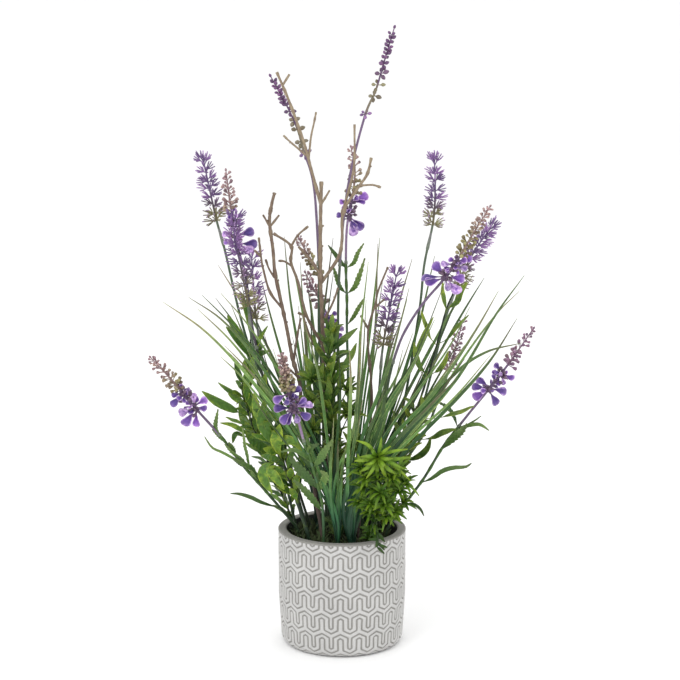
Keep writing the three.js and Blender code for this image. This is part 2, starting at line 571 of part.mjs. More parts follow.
function leafSleeve(curve, stem, { sleeve, leaves }) {
  const stretch = new Stretch(curve, atHeight(curve, sleeve[0]), atHeight(curve, sleeve[1]));
  const pieces = [rod(stretch, STEM_RADIUS + CLEARANCE + SLEEVE_WALL, STEP_LENGTH / 2)];
  leaves.forEach((entry) => pieces.push(leafOn(curve, entry, STEM_RADIUS)));
  return threaded(pieces, stem);
}

function spray(stem, leaves) {
  return join([rod(stem, STEM_RADIUS), ...leaves.map((entry) => leafOn(stem.whole, entry, 0))]);
}

function fern(stem, { whorls, drape }) {
  const curve = stem.whole;
  const pieces = [rod(stem, STEM_RADIUS, SHORT_STEP_LENGTH)];
  whorls.forEach(([height, count, length], level) => {
    const t = atHeight(curve, height);
    const along = curve.getTangent(t);
    for (let i = 0; i < count; i += 1) {
      const direction = leaning(along, (i * 2 * Math.PI) / count + level, FROND_LEAN);
      const base = curve.getPoint(t).addScaledVector(direction, STEM_RADIUS / 2);
      const tip = curve.getPoint(t).addScaledVector(direction, length);
      const middle = base.clone().lerp(tip, 0.5);
      middle.z += (LEAF_BOW * length) / 2;
      pieces.push(leaf([base, middle, tip], FROND_WIDTH, FROND_STEPS));
    }
  });
  if (drape) {
    const halfWidth = (t) => EDGE_HALF_WIDTH + (DRAPE_WIDTH / 2) * (1 - t);
    const side = new THREE.Vector3(1, 0, 0);
    pieces.push(blade(smooth(drape), side, halfWidth, LEAF_THICKNESS, DRAPE_STEPS));
  }
  return join(pieces);
}

function twig(trunk, radius, branches) {
  const arms = branches.map(([thickness, points]) => rod(smooth(points), thickness, SHORT_STEP_LENGTH));
  return join([rod(trunk, radius), ...arms]);
}

function bundle([x, y]) {
  const foot = new THREE.CylinderGeometry(BUNDLE_RADIUS, BUNDLE_RADIUS, 1, BUNDLE_SIDES);
  const height = FOAM_TOP + MOSS_THICKNESS + BUNDLE_STAND_OUT - SOCKET_FLOOR;
  foot.scale(1, height, 1);
  foot.rotateX(Math.PI / 2);
  foot.translate(x, y, SOCKET_FLOOR + height / 2);
  return foot;
}

function grassTuft({ foot, blades }) {
  return join([solid(bundle(foot)), ...blades.map(grassBlade)]);
}

function pot() {
  const outline = new THREE.Path();
  outline.moveTo(0, 0);
  outline.lineTo(FOOT_RADIUS - FOOT_ROUNDING, 0);
  outline.quadraticCurveTo(FOOT_RADIUS, 0, FOOT_RADIUS, FOOT_ROUNDING);
  outline.lineTo(POT_RADIUS, SIDE_TURN_HEIGHT);
  outline.lineTo(POT_RADIUS, POT_HEIGHT - RIM_ROUNDING);
  outline.quadraticCurveTo(POT_RADIUS, POT_HEIGHT, POT_RADIUS - RIM_ROUNDING, POT_HEIGHT);
  outline.lineTo(POT_RADIUS - WALL + RIM_ROUNDING, POT_HEIGHT);
  outline.quadraticCurveTo(POT_RADIUS - WALL, POT_HEIGHT, POT_RADIUS - WALL, POT_HEIGHT - RIM_ROUNDING);
  outline.lineTo(CAVITY_FOOT_RADIUS, POT_FLOOR);
  outline.lineTo(0, POT_FLOOR);
  const turned = new THREE.LatheGeometry(outline.getPoints(ROUNDING_STEPS), POT_SEGMENTS);
  turned.rotateX(Math.PI / 2);
  return solid(turned);
}

// The cavity's radius at a height
function cavityRadius(height) {
  const rise = (height - POT_FLOOR) / (POT_HEIGHT - RIM_ROUNDING - POT_FLOOR);
  return CAVITY_FOOT_RADIUS + (POT_RADIUS - WALL - CAVITY_FOOT_RADIUS) * rise;
}

function foamBlank() {
  const top = cavityRadius(FOAM_TOP) - 2 * CLEARANCE;
  const foot = CAVITY_FOOT_RADIUS - 2 * CLEARANCE;
  const height = FOAM_TOP - POT_FLOOR - CLEARANCE;
  const blank = new THREE.CylinderGeometry(top, foot, height, FILLING_SEGMENTS);
  blank.rotateX(Math.PI / 2);
  blank.translate(0, 0, POT_FLOOR + CLEARANCE + height / 2);
  return solid(blank);
}

function mossBlank() {
  const outline = new THREE.Path();
  outline.moveTo(0, 0);
  outline.lineTo(MOSS_RADIUS, 0);
  outline.lineTo(MOSS_RADIUS, MOSS_EDGE_HEIGHT);
  outline.quadraticCurveTo(MOSS_RADIUS, MOSS_THICKNESS, MOSS_RADIUS - MOSS_EDGE_ROUNDING, MOSS_THICKNESS);
  outline.lineTo(0, MOSS_THICKNESS);
  const mat = new THREE.LatheGeometry(outline.getPoints(ROUNDING_STEPS), FILLING_SEGMENTS);
  mat.rotateX(Math.PI / 2);
  mat.translate(MOSS_SHIFT, 0, FOAM_TOP + CLEARANCE);
  return solid(mat);
}

const whole = new THREE.Group();
const sockets = [];

// Keeps the room that a pushed-in stem takes in the foam and the moss
function socket(stem, radius, stepLength = STEP_LENGTH) {
  sockets.push(rod(new Stretch(stem.whole, 0, stem.to), radius + CLEARANCE, stepLength));
}

// A stem stands clear of its socket's floor and of what it carries on its end
function stemUpTo(curve, height) {
  const gap = CLEARANCE / curve.getLength();
  return new Stretch(curve, gap, atHeight(curve, height) - gap / 2);
}

function wholeStem(curve) {
  return new Stretch(curve, CLEARANCE / curve.getLength(), 1);
}

function place(name, body, colour, roughness = 0.6) {
  whole.add(named(name, body, colour, roughness));
}

function headAbove(curve, height) {
  const start = atHeight(curve, height);
  return new Stretch(curve, start + (0.5 * CLEARANCE) / curve.getLength(), 1);
}

Object.entries(NEEDLE_PICKS).forEach(([name, { head, route }]) => {
  const curve = smooth(route);
  const stem = stemUpTo(curve, head);
  const sheath = new Stretch(curve, atHeight(curve, head - SHEATH_LENGTH), stem.to);
  socket(stem, STEM_RADIUS);
  place(`${name}_stem`, rod(stem, STEM_RADIUS).add(rod(sheath, SHEATH_RADIUS)), STEM_GREEN);
  place(`${name}_florets`, needleHead(headAbove(curve, head)), NEEDLE_PURPLE);
});

Object.entries(BUD_PICKS).forEach(([name, pick]) => {
  const curve = smooth(pick.route);
  const stem = stemUpTo(curve, pick.head);
  socket(stem, STEM_RADIUS);
  place(`${name}_stem`, rod(stem, STEM_RADIUS), STEM_PURPLE);
  place(`${name}_buds`, budHead(headAbove(curve, pick.head)), BUD_TAN);
  if (pick.petals) place(`${name}_petals`, petalWhorl(curve, stem, pick.petals), PETAL_VIOLET);
  if (pick.sleeve) place(`${name}_leaves`, leafSleeve(curve, stem, pick), LEAF_GREEN);
});

Object.entries(SALVIA_PICKS).forEach(([name, { head, route }]) => {
  const curve = smooth(route);
  const stem = stemUpTo(curve, head);
  socket(stem, STEM_RADIUS);
  place(`${name}_stem`, rod(stem, STEM_RADIUS), STEM_PURPLE);
  place(`${name}_buds`, salviaHead(headAbove(curve, head)), SALVIA_PURPLE);
});

Object.entries(TWIGS).forEach(([name, [[radius, points], ...branches]]) => {
  const trunk = wholeStem(smooth(points));
  socket(trunk, radius);
  place(name, twig(trunk, radius, branches), TWIG_BROWN, 0.8);
});

Object.entries(GRASS_TUFTS).forEach(([name, tuft]) => {
  const [x, y] = tuft.foot;
  const grow = (BUNDLE_RADIUS + CLEARANCE) / BUNDLE_RADIUS;
  const room = bundle([0, 0]);
  room.scale(grow, grow, 1);
  room.translate(x, y, -CLEARANCE);
  sockets.push(solid(room));
  place(name, grassTuft(tuft), GRASS_GREEN);
});

Object.entries(SPRAYS).forEach(([name, { route, leaves }]) => {
  const stem = wholeStem(smooth(route));
  socket(stem, STEM_RADIUS);
  place(name, spray(stem, leaves), name.endsWith("dark") ? DARK_LEAF_GREEN : LEAF_GREEN);
});

Object.entries(FERNS).forEach(([name, entry]) => {
  const stem = wholeStem(smooth(entry.route));
  socket(stem, STEM_RADIUS, SHORT_STEP_LENGTH);
  place(name, fern(stem, entry), FERN_GREEN);
});

const room = join(sockets);
place("pot", pot(), CEMENT, 0.85);
place("foam_plug", foamBlank().subtract(room), FOAM_GREEN, 0.95);
place("moss_mat", mossBlank().subtract(room), MOSS_GREEN, 0.95);

export default whole;
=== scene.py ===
"""The looks of a potted lavender: an artificial arrangement in a round cement pot, built round its CAD frame.

Lengths in the tables are millimetres in the frame of the part: +Z up, the origin under the middle of
the pot, -Y towards the front. Meshes are scaled to metres when they are made.
"""

import functools
import math
import random
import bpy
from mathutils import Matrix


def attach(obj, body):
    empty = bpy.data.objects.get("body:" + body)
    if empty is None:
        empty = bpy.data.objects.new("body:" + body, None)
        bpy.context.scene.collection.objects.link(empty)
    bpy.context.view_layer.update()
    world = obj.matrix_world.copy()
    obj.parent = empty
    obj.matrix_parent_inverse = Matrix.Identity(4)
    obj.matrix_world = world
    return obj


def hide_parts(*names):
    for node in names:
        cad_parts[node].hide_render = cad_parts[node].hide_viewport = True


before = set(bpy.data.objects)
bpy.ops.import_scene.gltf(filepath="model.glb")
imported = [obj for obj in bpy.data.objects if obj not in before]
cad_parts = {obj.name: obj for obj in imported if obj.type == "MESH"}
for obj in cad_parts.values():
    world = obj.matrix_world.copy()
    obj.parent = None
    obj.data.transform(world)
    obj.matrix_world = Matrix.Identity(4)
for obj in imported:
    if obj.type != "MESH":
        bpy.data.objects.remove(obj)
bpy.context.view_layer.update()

import types
import zlib

import bmesh
import bpy
import numpy as np

bl_info = {
    "name": "Potted lavender",
    "version": (1, 0, 0),
    "blender": (4, 5, 0),
    "location": "View3D > Sidebar > Lavender",
    "description": "Builds an artificial lavender arrangement in a patterned cement pot",
    "category": "Object",
}

MM = 0.001
GOLDEN_ANGLE = math.pi * (3 - math.sqrt(5))
UP = np.array((0.0, 0.0, 1.0))
FRONT = np.array((0.0, -1.0, 0.0))
RIGHT = np.array((1.0, 0.0, 0.0))

# For a needle pick: the height of its head, and its route from its socket in the foam to its tip. The stem
# ends at the height of the head.
NEEDLE_PICKS = {
    "needle_1": (420, [
        (-40, 6, 70), (-45, 7, 108), (-66, 8, 200), (-86, 14, 275), (-102, 26, 329), (-117, 39, 392),
        (-125, 45, 420), (-132, 50, 451), (-140, 56, 488)]),
    "needle_2": (344, [
        (-28, -22, 70), (-31, -22, 104), (-52, -17, 180), (-79, -12, 250), (-84, -14, 285), (-89, -16, 320),
        (-92, -17, 350), (-99, -18, 388), (-104, -19, 412), (-102, -20, 436)]),
    "needle_3": (320, [
        (-34, 24, 70), (-37, 26, 104), (-58, 30, 190), (-77, 32, 265), (-83, 36, 300), (-87, 40, 330),
        (-89, 44, 358), (-91, 46, 390)]),
    "needle_4": (413, [
        (32, 16, 70), (35, 18, 104), (46, 22, 175), (63, 30, 240), (78, 48, 329), (83, 57, 374),
        (92, 65, 417), (94, 71, 448), (93, 78, 485)]),
    "needle_5": (300, [
        (16, 6, 70), (18, 6, 104), (28, 7, 180), (36, 8, 245), (40, 10, 295), (47, 12, 335), (55, 16, 377)]),
    "needle_6": (352, [
        (28, 29, 70), (31, 31, 104), (52, 34, 158), (76, 42, 212), (92, 53, 267), (106, 62, 321),
        (123, 69, 364), (139, 75, 392), (155, 80, 413)]),
}

# For a bud pick: the height of its head, the height where its stem turns purple, how mauve and how tan
# its beads are, its beads as (width at the foot, how many to a tier, room between tiers), and its route.
# Where it has them:
#   petals: (height on the stem, degrees round as seen from the front, degrees towards the front, length)
#   sleeve: the stretch of stem that its leaves clasp
#   leaves: (height on the stem, the points that the leaf runs through, width)
#   loose_leaves: how many more leaves are laid round the sleeve, if not LOOSE_LEAVES
#   stem_shade, petal_shades: how light they are from 0 to 1, if not STEM_SHADE and PETAL_SHADES
BUD_PICKS = {
    "bud_1": dict(
        head=270, purple=221, mauve=0.2, tan=0.15, beads=(3.7, 5, 4.4),
        route=[
            (-36, -6, 70), (-42, -3, 106), (-47, -3, 119), (-59, -7, 135), (-77, -14, 159), (-98, -24, 187),
            (-117, -35, 217), (-141, -47, 249), (-163, -59, 280), (-182, -68, 304)],
        petals=[
            (251, 95, 5, 15), (252, 31, 5, 16), (251, -9, 15, 13), (250, 215, 60, 12), (250, 200, 5, 18),
            (250, 241, 10, 22), (249, 273, 10, 19), (252, 60, -50, 13), (251, 150, -50, 13),
            (250, 320, -55, 12), (266, 227, 30, 18), (268, 85, 20, 9), (264, 262, 55, 10),
            (266, 190, 20, 12), (266, 20, -50, 11)],
        sleeve=(154, 221),
        leaves=[
            (212, [(-122, -39, 226), (-122, -42, 236), (-120, -44, 248)], 5.5),
            (186, [(-102, -32, 193), (-117, -35, 203), (-127, -36, 208), (-134, -37, 219)], 3),
            (138, [(-79, -22, 148), (-90, -24, 154), (-101, -26, 158), (-110, -28, 159)], 3.4),
            (176, [(-93, -30, 199), (-95, -34, 212), (-97, -34, 227)], 4.8),
            (162, [(-88, -24, 182), (-97, -30, 190), (-108, -36, 198)], 5.5),
            (178, [(-98, -30, 194), (-108, -36, 204), (-114, -40, 212)], 5)],
    ),
    "bud_2": dict(
        stem_shade=1.0, petal_shades=(0.0, 0.55), head=274, purple=222, mauve=0.05, tan=0.15,
        beads=(3.4, 9, 3.3),
        route=[
            (-18, -36, 70), (-18, -38, 104), (-19, -45, 149), (-25, -52, 179), (-32, -60, 206),
            (-37, -64, 222), (-42, -68, 243), (-46, -72, 256), (-52, -78, 279), (-57, -84, 310)],
        petals=[
            (271, 202, 15, 18), (271, 255, 35, 13), (269, 80, 0, 14), (269, 35, 5, 14), (256, 37, 10, 16),
            (256, 14, 10, 20), (255, -33, 10, 19), (254, -68, 25, 14), (256, 182, 10, 21),
            (255, 225, 15, 20), (255, 246, 15, 18), (258, 90, 50, 9), (256, 120, -60, 13),
            (256, 20, -60, 13), (256, 300, -65, 13)],
        sleeve=(150, 222),
        leaves=[
            (168, [(-33, -55, 182), (-43, -59, 194), (-51, -61, 206)], 10),
            (166, [(-19, -51, 176), (-16, -55, 185), (-21, -57, 190)], 8),
            (144, [(-28, -49, 158), (-38, -53, 171), (-47, -55, 180)], 7.5),
            (192, [(-21, -61, 203), (-16, -63, 212), (-9, -65, 223)], 8),
            (206, [(-32, -63, 213), (-28, -65, 216), (-22, -66, 219)], 6),
            (198, [(-38, -64, 208), (-48, -66, 213), (-59, -66, 211)], 4),
            (214, [(-38, -62, 228), (-44, -60, 240), (-46, -58, 250)], 6)],
    ),
    "bud_3": dict(
        stem_shade=0.0, head=434, purple=300, mauve=0.2, tan=0.5, beads=(3.9, 5, 5.2),
        route=[
            (-26, 4, 70), (-29, 3, 104), (-45, -1, 160), (-62, -4, 215), (-76, -3, 262), (-85, 2, 302),
            (-91, 7, 335), (-93, 8, 357), (-97, 10, 379), (-102, 10, 398), (-108, 9, 433), (-113, 8, 474)],
        petals=[
            (402, 0, 0, 21), (410, 14, 5, 20), (410, 165, 10, 14), (403, 172, 5, 14), (402, -27, 10, 18),
            (424, 60, 30, 11), (424, 120, 30, 10), (430, 78, 0, 9), (412, 110, -55, 12), (404, 40, -60, 12),
            (412, 300, -60, 12)],
    ),
    "bud_4": dict(
        head=399, purple=290, mauve=0.0, tan=0.0, beads=(3.6, 6, 4.6),
        route=[
            (24, -5, 70), (27, -5, 104), (33, -5, 140), (40, -9, 206), (45, -16, 266), (55, -24, 307),
            (66, -29, 331), (80, -35, 353), (96, -40, 373), (110, -45, 394), (125, -52, 422),
            (139, -60, 447)],
        petals=[
            (377, 133, 10, 20), (377, 180, 5, 25), (376, 196, 15, 21), (377, -4, 15, 20),
            (377, -53, 15, 22), (376, -72, 35, 15), (393, 15, 45, 13), (390, 182, 10, 14),
            (392, 150, 30, 10), (390, 280, 65, 9), (389, -20, 20, 14), (392, 16, 10, 17),
            (388, 215, 20, 10), (378, 60, -55, 13), (378, 150, -60, 13), (390, 320, -60, 12)],
    ),
    "bud_5": dict(
        loose_leaves=0, head=276, purple=217, mauve=0.9, tan=0.2, beads=(4.0, 5, 6.0),
        route=[
            (35, -7, 70), (42, -6, 105), (49, -4, 122), (66, 2, 144), (83, 5, 167), (101, 12, 196),
            (116, 16, 215), (130, 20, 232), (147, 25, 252), (169, 33, 279), (193, 44, 311)],
        petals=[
            (253, 171, 5, 19), (253, 213, 10, 20), (254, 139, 10, 18), (253, -6, 5, 19), (252, -58, 10, 19),
            (253, 190, 40, 13), (268, 20, 50, 10), (267, 238, 20, 9), (267, -65, 20, 12),
            (268, -28, 15, 15), (270, 141, 10, 13), (269, 180, 30, 9), (254, 60, -60, 13),
            (254, 180, -60, 13), (254, 300, -60, 13)],
        sleeve=(136, 217),
        leaves=[
            (138, [(70, -2, 141), (78, -6, 137), (82, -8, 130)], 2.8),
            (161, [(90, 0, 167), (100, -2, 175), (111, -4, 179), (123, -5, 180), (129, -5, 184)], 4),
            (192, [(110, 8, 205), (119, 7, 213), (125, 8, 221)], 9),
            (213, [(128, 10, 219), (138, 8, 220), (147, 8, 214)], 3.4),
            (214, [(128, 12, 220), (139, 8, 229)], 2.2),
            (215, [(111, 12, 229), (104, 10, 238), (95, 10, 243)], 5)],
    ),
    "bud_6": dict(
        stem_shade=0.75, loose_leaves=0, head=443, purple=376, mauve=0.15, tan=0.1, beads=(3.7, 5, 5.4),
        route=[
            (8, 24, 70), (8, 26, 104), (7, 38, 190), (6, 49, 267), (5, 55, 307), (5, 56, 338), (4, 60, 370),
            (5, 65, 411), (11, 69, 444), (13, 71, 469), (9, 74, 491)],
        petals=[
            (422, 176, 0, 13), (422, 85, 40, 11), (421, -51, 10, 14), (422, -35, 10, 21),
            (421, -71, 10, 21), (436, 180, 5, 13), (436, 3, 0, 15), (437, 22, 5, 19), (424, 60, -55, 12),
            (424, 150, -60, 12), (436, 100, -60, 12)],
        sleeve=(322, 374),
        leaves=[
            (344, [(-2, 54, 352), (-6, 52, 364), (-9, 51, 374)], 4.6),
            (344, [(13, 54, 352), (18, 52, 365), (23, 50, 382)], 6),
            (370, [(-1, 59, 376), (-8, 58, 386), (-14, 57, 394)], 4),
            (370, [(12, 58, 376), (16, 57, 386), (22, 56, 396)], 4.6),
            (312, [(12, 52, 322), (18, 51, 333), (23, 50, 342)], 4.6)],
    ),
    "bud_7": dict(
        head=360, purple=362, mauve=0.05, tan=0.0, beads=(3.8, 5, 4.4),
        route=[
            (-12, 34, 70), (-13, 36, 104), (-16, 46, 180), (-18, 58, 260), (-21, 64, 310), (-24, 70, 362),
            (-35, 74, 382), (-45, 78, 400)],
    ),
    "bud_8": dict(
        head=323, purple=300, mauve=0.5, tan=0.3, beads=(4.2, 5, 4.6),
        route=[
            (2, 40, 70), (2, 42, 104), (-2, 58, 160), (-8, 78, 231), (-8, 90, 285), (-14, 98, 312),
            (-26, 104, 335), (-38, 108, 358)],
        petals=[
            (300, 10, 10, 13), (301, 60, 20, 11), (300, -35, 15, 13), (300, -80, 20, 12),
            (301, 170, 10, 12), (313, 30, 15, 11), (302, 110, -60, 12), (302, 230, -60, 12),
            (302, 340, -60, 12)],
    ),
    "bud_9": dict(
        head=256, purple=256, mauve=0.6, tan=0.4, beads=(3.6, 5, 4.4),
        route=[
            (20, 38, 70), (22, 39, 104), (28, 43, 122), (50, 57, 150), (84, 76, 192), (99, 86, 225),
            (109, 92, 252), (118, 98, 280), (126, 106, 308)],
    ),
}

# A salvia pick: the height of its head, its route, and its whorls of buds as (height, degrees round of each
# bud as seen from the front, width, stalk)
SALVIA_PICKS = {
    "salvia_1": (
        524,
        [
            (4, 2, 70), (3, 2, 104), (-1, 4, 180), (-4, 9, 265), (-4, 13, 315), (-3, 18, 365), (2, 24, 429),
            (10, 27, 478), (23, 32, 527), (33, 34, 550), (41, 38, 577), (51, 42, 610)],
        [
            (527, (15, 60, 140, 185, 260), 3.0, 3.0), (545, (-10, 80, 190, 265), 4.0, 2.4),
            (555, (10, 100, 165, 250), 3.8, 3.4), (566, (10, 85, 170, 300), 4.2, 2.6),
            (575, (20, 110, 160, 290), 3.8, 1.4)],
    ),
    "salvia_2": (
        486,
        [
            (-14, 14, 70), (-15, 14, 104), (-18, 15, 180), (-20, 19, 263), (-23, 24, 313), (-23, 28, 373),
            (-26, 32, 437), (-30, 35, 467), (-38, 36, 491), (-44, 38, 512), (-56, 40, 538), (-70, 42, 563)],
        [
            (488, (30, 150, 200, 280), 3.6, 2.6), (500, (0, 80, 185, 260), 4.0, 2.6),
            (511, (30, 100, 175, 300), 4.2, 2.4), (520, (20, 90, 160, 250), 4.2, 2.0),
            (529, (10, 100, 190, 280), 4.0, 1.8)],
    ),
}

# A twig: the rise over which its bark turns pale, then its trunk and branches, each with its radius
TWIGS = {
    "twig_1": (390, [
        (2.3, [
            (-6, -6, 70), (-7, -6, 104), (-12, -6, 167), (-16, -6, 228), (-18, -6, 279), (-19, -7, 319),
            (-21, -8, 369), (-21, -8, 418), (-20, -8, 465)]),
        (1.6, [(-21, -8, 444), (-29, -9, 474), (-37, -11, 504), (-50, -14, 541), (-62, -17, 570)]),
        (1.1, [(-57, -16, 557), (-50, -20, 568)]),
        (1.05, [(-34, -10, 490), (-50, -14, 504), (-56, -16, 510)]),
        (1.1, [(-32, -9, 488), (-30, -4, 507), (-27, 0, 521), (-25, 2, 531)]),
        (1.05, [(-20, -8, 443), (-12, -13, 457)]),
        (1.35, [(-21, -8, 374), (-31, -13, 389), (-42, -18, 403)]),
        (1.65, [
            (-21, -8, 365), (-4, -12, 391), (0, -14, 409), (1, -15, 436), (14, -17, 458), (24, -18, 473),
            (28, -19, 489)]),
        (1.1, [(17, -17, 462), (29, -20, 463), (37, -23, 461)]),
        (1.3, [(1, -15, 438), (11, -12, 477), (12, -8, 520)]),
        (1.25, [(-19, -8, 326), (-9, -12, 347), (-4, -15, 362)]),
        (1.65, [
            (-19, -7, 304), (-35, -3, 333), (-43, 0, 365), (-50, 1, 385), (-50, 2, 401), (-67, 4, 413)]),
        (1.2, [(-50, 2, 400), (-43, -2, 412), (-33, -5, 421)]),
        (1.05, [(-49, 1, 381), (-56, -1, 386), (-62, -3, 387)]), (1.05, [(-34, -3, 331), (-43, -6, 336)]),
        (1.2, [(-18, -7, 290), (-29, -11, 308), (-38, -14, 334)]),
    ]),
    "twig_2": (560, [
        (2.0, [
            (-16, -26, 70), (-18, -27, 104), (-28, -29, 170), (-39, -30, 234), (-41, -31, 269),
            (-48, -33, 296), (-53, -35, 324), (-58, -36, 349), (-64, -38, 378), (-66, -39, 403),
            (-69, -41, 430), (-67, -42, 446), (-64, -44, 458)]),
        (1.05, [(-68, -40, 424), (-75, -44, 437)]), (1.05, [(-68, -41, 426), (-60, -37, 436)]),
        (1.25, [(-57, -36, 345), (-69, -40, 362), (-75, -44, 384), (-77, -46, 396), (-79, -49, 416)]),
        (1.05, [(-77, -46, 397), (-83, -50, 404)]),
        (1.05, [(-65, -38, 376), (-70, -40, 385), (-73, -41, 394)]),
        (1.3, [(-47, -33, 292), (-44, -31, 314), (-40, -29, 335)]),
        (1.05, [(-43, -32, 277), (-53, -36, 288)]),
    ]),
    "twig_3": (560, [
        (1.25, [
            (14, -14, 70), (15, -15, 104), (22, -19, 170), (29, -22, 252), (25, -24, 317), (32, -27, 347),
            (35, -29, 362), (44, -31, 385)]),
        (1.1, [(26, -24, 322), (18, -27, 337)]), (1.1, [(31, -27, 344), (41, -26, 353)]),
    ]),
}

# A tuft of grass: the place of its foot, the width of its blades, what share of them is striped, and the
# blades that arch out of it. More are laid between each pair of neighbours.
GRASS_TUFTS = {
    "grass_front_right": ((9, -43), 3.3, 0.2, [
        [(9, -44, 106), (1, -46, 149), (8, -48, 193), (14, -46, 236), (19, -44, 284), (23, -42, 355)],
        [(10, -44, 106), (6, -46, 137), (20, -50, 189), (38, -50, 237), (44, -46, 296), (56, -42, 335)],
        [(9, -44, 106), (7, -48, 157), (12, -50, 228), (16, -48, 282), (18, -45, 326), (25, -42, 392)],
        [(9, -43, 106), (9, -47, 157), (19, -50, 219), (35, -52, 264), (48, -52, 303), (64, -48, 368)],
        [(11, -42, 106), (14, -44, 167), (29, -43, 227), (51, -42, 267), (72, -40, 301), (99, -36, 372)],
        [(9, -45, 106), (6, -51, 159), (38, -58, 221), (76, -66, 277), (102, -72, 317), (120, -76, 354)],
        [(9, -46, 106), (8, -49, 158), (46, -54, 219), (88, -58, 268), (124, -60, 324), (148, -62, 367)],
        [(11, -43, 106), (14, -46, 157), (58, -46, 218), (109, -46, 277), (146, -46, 340), (174, -44, 379)],
        [(12, -42, 106), (18, -43, 152), (68, -38, 211), (112, -32, 256), (144, -28, 293), (170, -24, 334)],
        [(10, -41, 106), (16, -41, 146), (62, -30, 222), (108, -20, 276), (140, -14, 298), (177, -6, 306)],
        [(9, -42, 106), (12, -46, 140), (18, -50, 170), (22, -54, 196)],
    ]),
    "grass_front_left": ((-4, -43), 2.5, 0, [
        [
            (-4, -42, 106), (-8, -44, 152), (-50, -52, 229), (-91, -58, 285), (-130, -62, 328),
            (-170, -64, 357)],
        [
            (-5, -44, 106), (-7, -47, 157), (-41, -48, 232), (-81, -48, 296), (-114, -46, 335),
            (-147, -44, 358)],
        [
            (-3, -44, 106), (-4, -47, 157), (-36, -42, 230), (-70, -35, 284), (-104, -28, 325),
            (-136, -24, 357)],
        [
            (-4, -44, 106), (-8, -45, 152), (-46, -43, 215), (-83, -50, 272), (-101, -56, 298),
            (-118, -60, 316)],
        [
            (-4, -44, 106), (-11, -47, 150), (-29, -50, 189), (-50, -48, 228), (-65, -46, 267),
            (-78, -42, 311)],
        [
            (-4, -43, 106), (-8, -46, 152), (-12, -48, 198), (-19, -46, 258), (-25, -44, 292),
            (-39, -38, 341)],
        [(-3, -43, 106), (-9, -47, 153), (-4, -50, 189), (8, -52, 219), (15, -52, 259), (19, -50, 340)],
        [(-4, -43, 106), (-2, -47, 150), (0, -50, 190), (4, -54, 214)],
    ]),
    "grass_back_right": ((21, 17), 2.8, 0.2, [
        [(20, 17, 106), (20, 24, 159), (26, 34, 219), (30, 42, 269), (34, 48, 319), (36, 54, 396)],
        [(20, 18, 106), (24, 26, 158), (34, 36, 218), (45, 46, 278), (56, 56, 328), (71, 64, 379)],
        [(21, 18, 106), (27, 22, 158), (44, 28, 210), (64, 34, 272), (80, 42, 326), (93, 50, 384)],
        [(22, 17, 106), (26, 26, 150), (53, 32, 220), (89, 40, 290), (114, 46, 335), (132, 50, 365)],
        [(22, 17, 106), (30, 22, 158), (53, 24, 211), (78, 26, 257), (99, 28, 306), (120, 30, 358)],
        [(23, 17, 106), (28, 24, 150), (61, 30, 216), (98, 33, 287), (123, 35, 332), (142, 36, 364)],
        [(23, 16, 106), (34, 14, 150), (76, 16, 212), (120, 16, 284), (152, 16, 329), (175, 14, 354)],
        [(20, 17, 106), (17, 28, 150), (16, 56, 203), (25, 76, 274), (33, 88, 335), (39, 98, 396)]]),
    "grass_back_left": ((-24, 21), 2.6, 0, [
        [(-25, 21, 106), (-30, 24, 150), (-42, 30, 210), (-70, 44, 281), (-102, 54, 336), (-125, 60, 373)],
        [(-26, 20, 106), (-30, 20, 150), (-50, 20, 212), (-80, 22, 268), (-104, 26, 314), (-126, 28, 345)],
        [(-25, 21, 106), (-30, 25, 158), (-52, 28, 215), (-74, 32, 267), (-90, 34, 312), (-101, 38, 360)],
        [(-24, 21, 106), (-28, 28, 158), (-43, 36, 218), (-57, 42, 269), (-71, 48, 319), (-81, 52, 359)],
        [(-24, 22, 106), (-27, 27, 150), (-32, 40, 208), (-43, 56, 279), (-53, 70, 339), (-59, 84, 399)],
        [(-24, 21, 106), (-26, 26, 158), (-30, 34, 219), (-34, 42, 269), (-39, 50, 329), (-42, 54, 377)],
        [(-24, 21, 106), (-25, 28, 158), (-26, 38, 218), (-25, 50, 277), (-17, 60, 337), (-9, 66, 400)],
        [(-23, 22, 106), (-23, 30, 150), (-25, 60, 207), (-32, 88, 266), (-42, 108, 320), (-52, 122, 368)],
        [(-23, 22, 106), (-25, 32, 150), (-24, 68, 202), (-20, 98, 262), (-20, 118, 312), (-24, 130, 352)],
    ]),
}

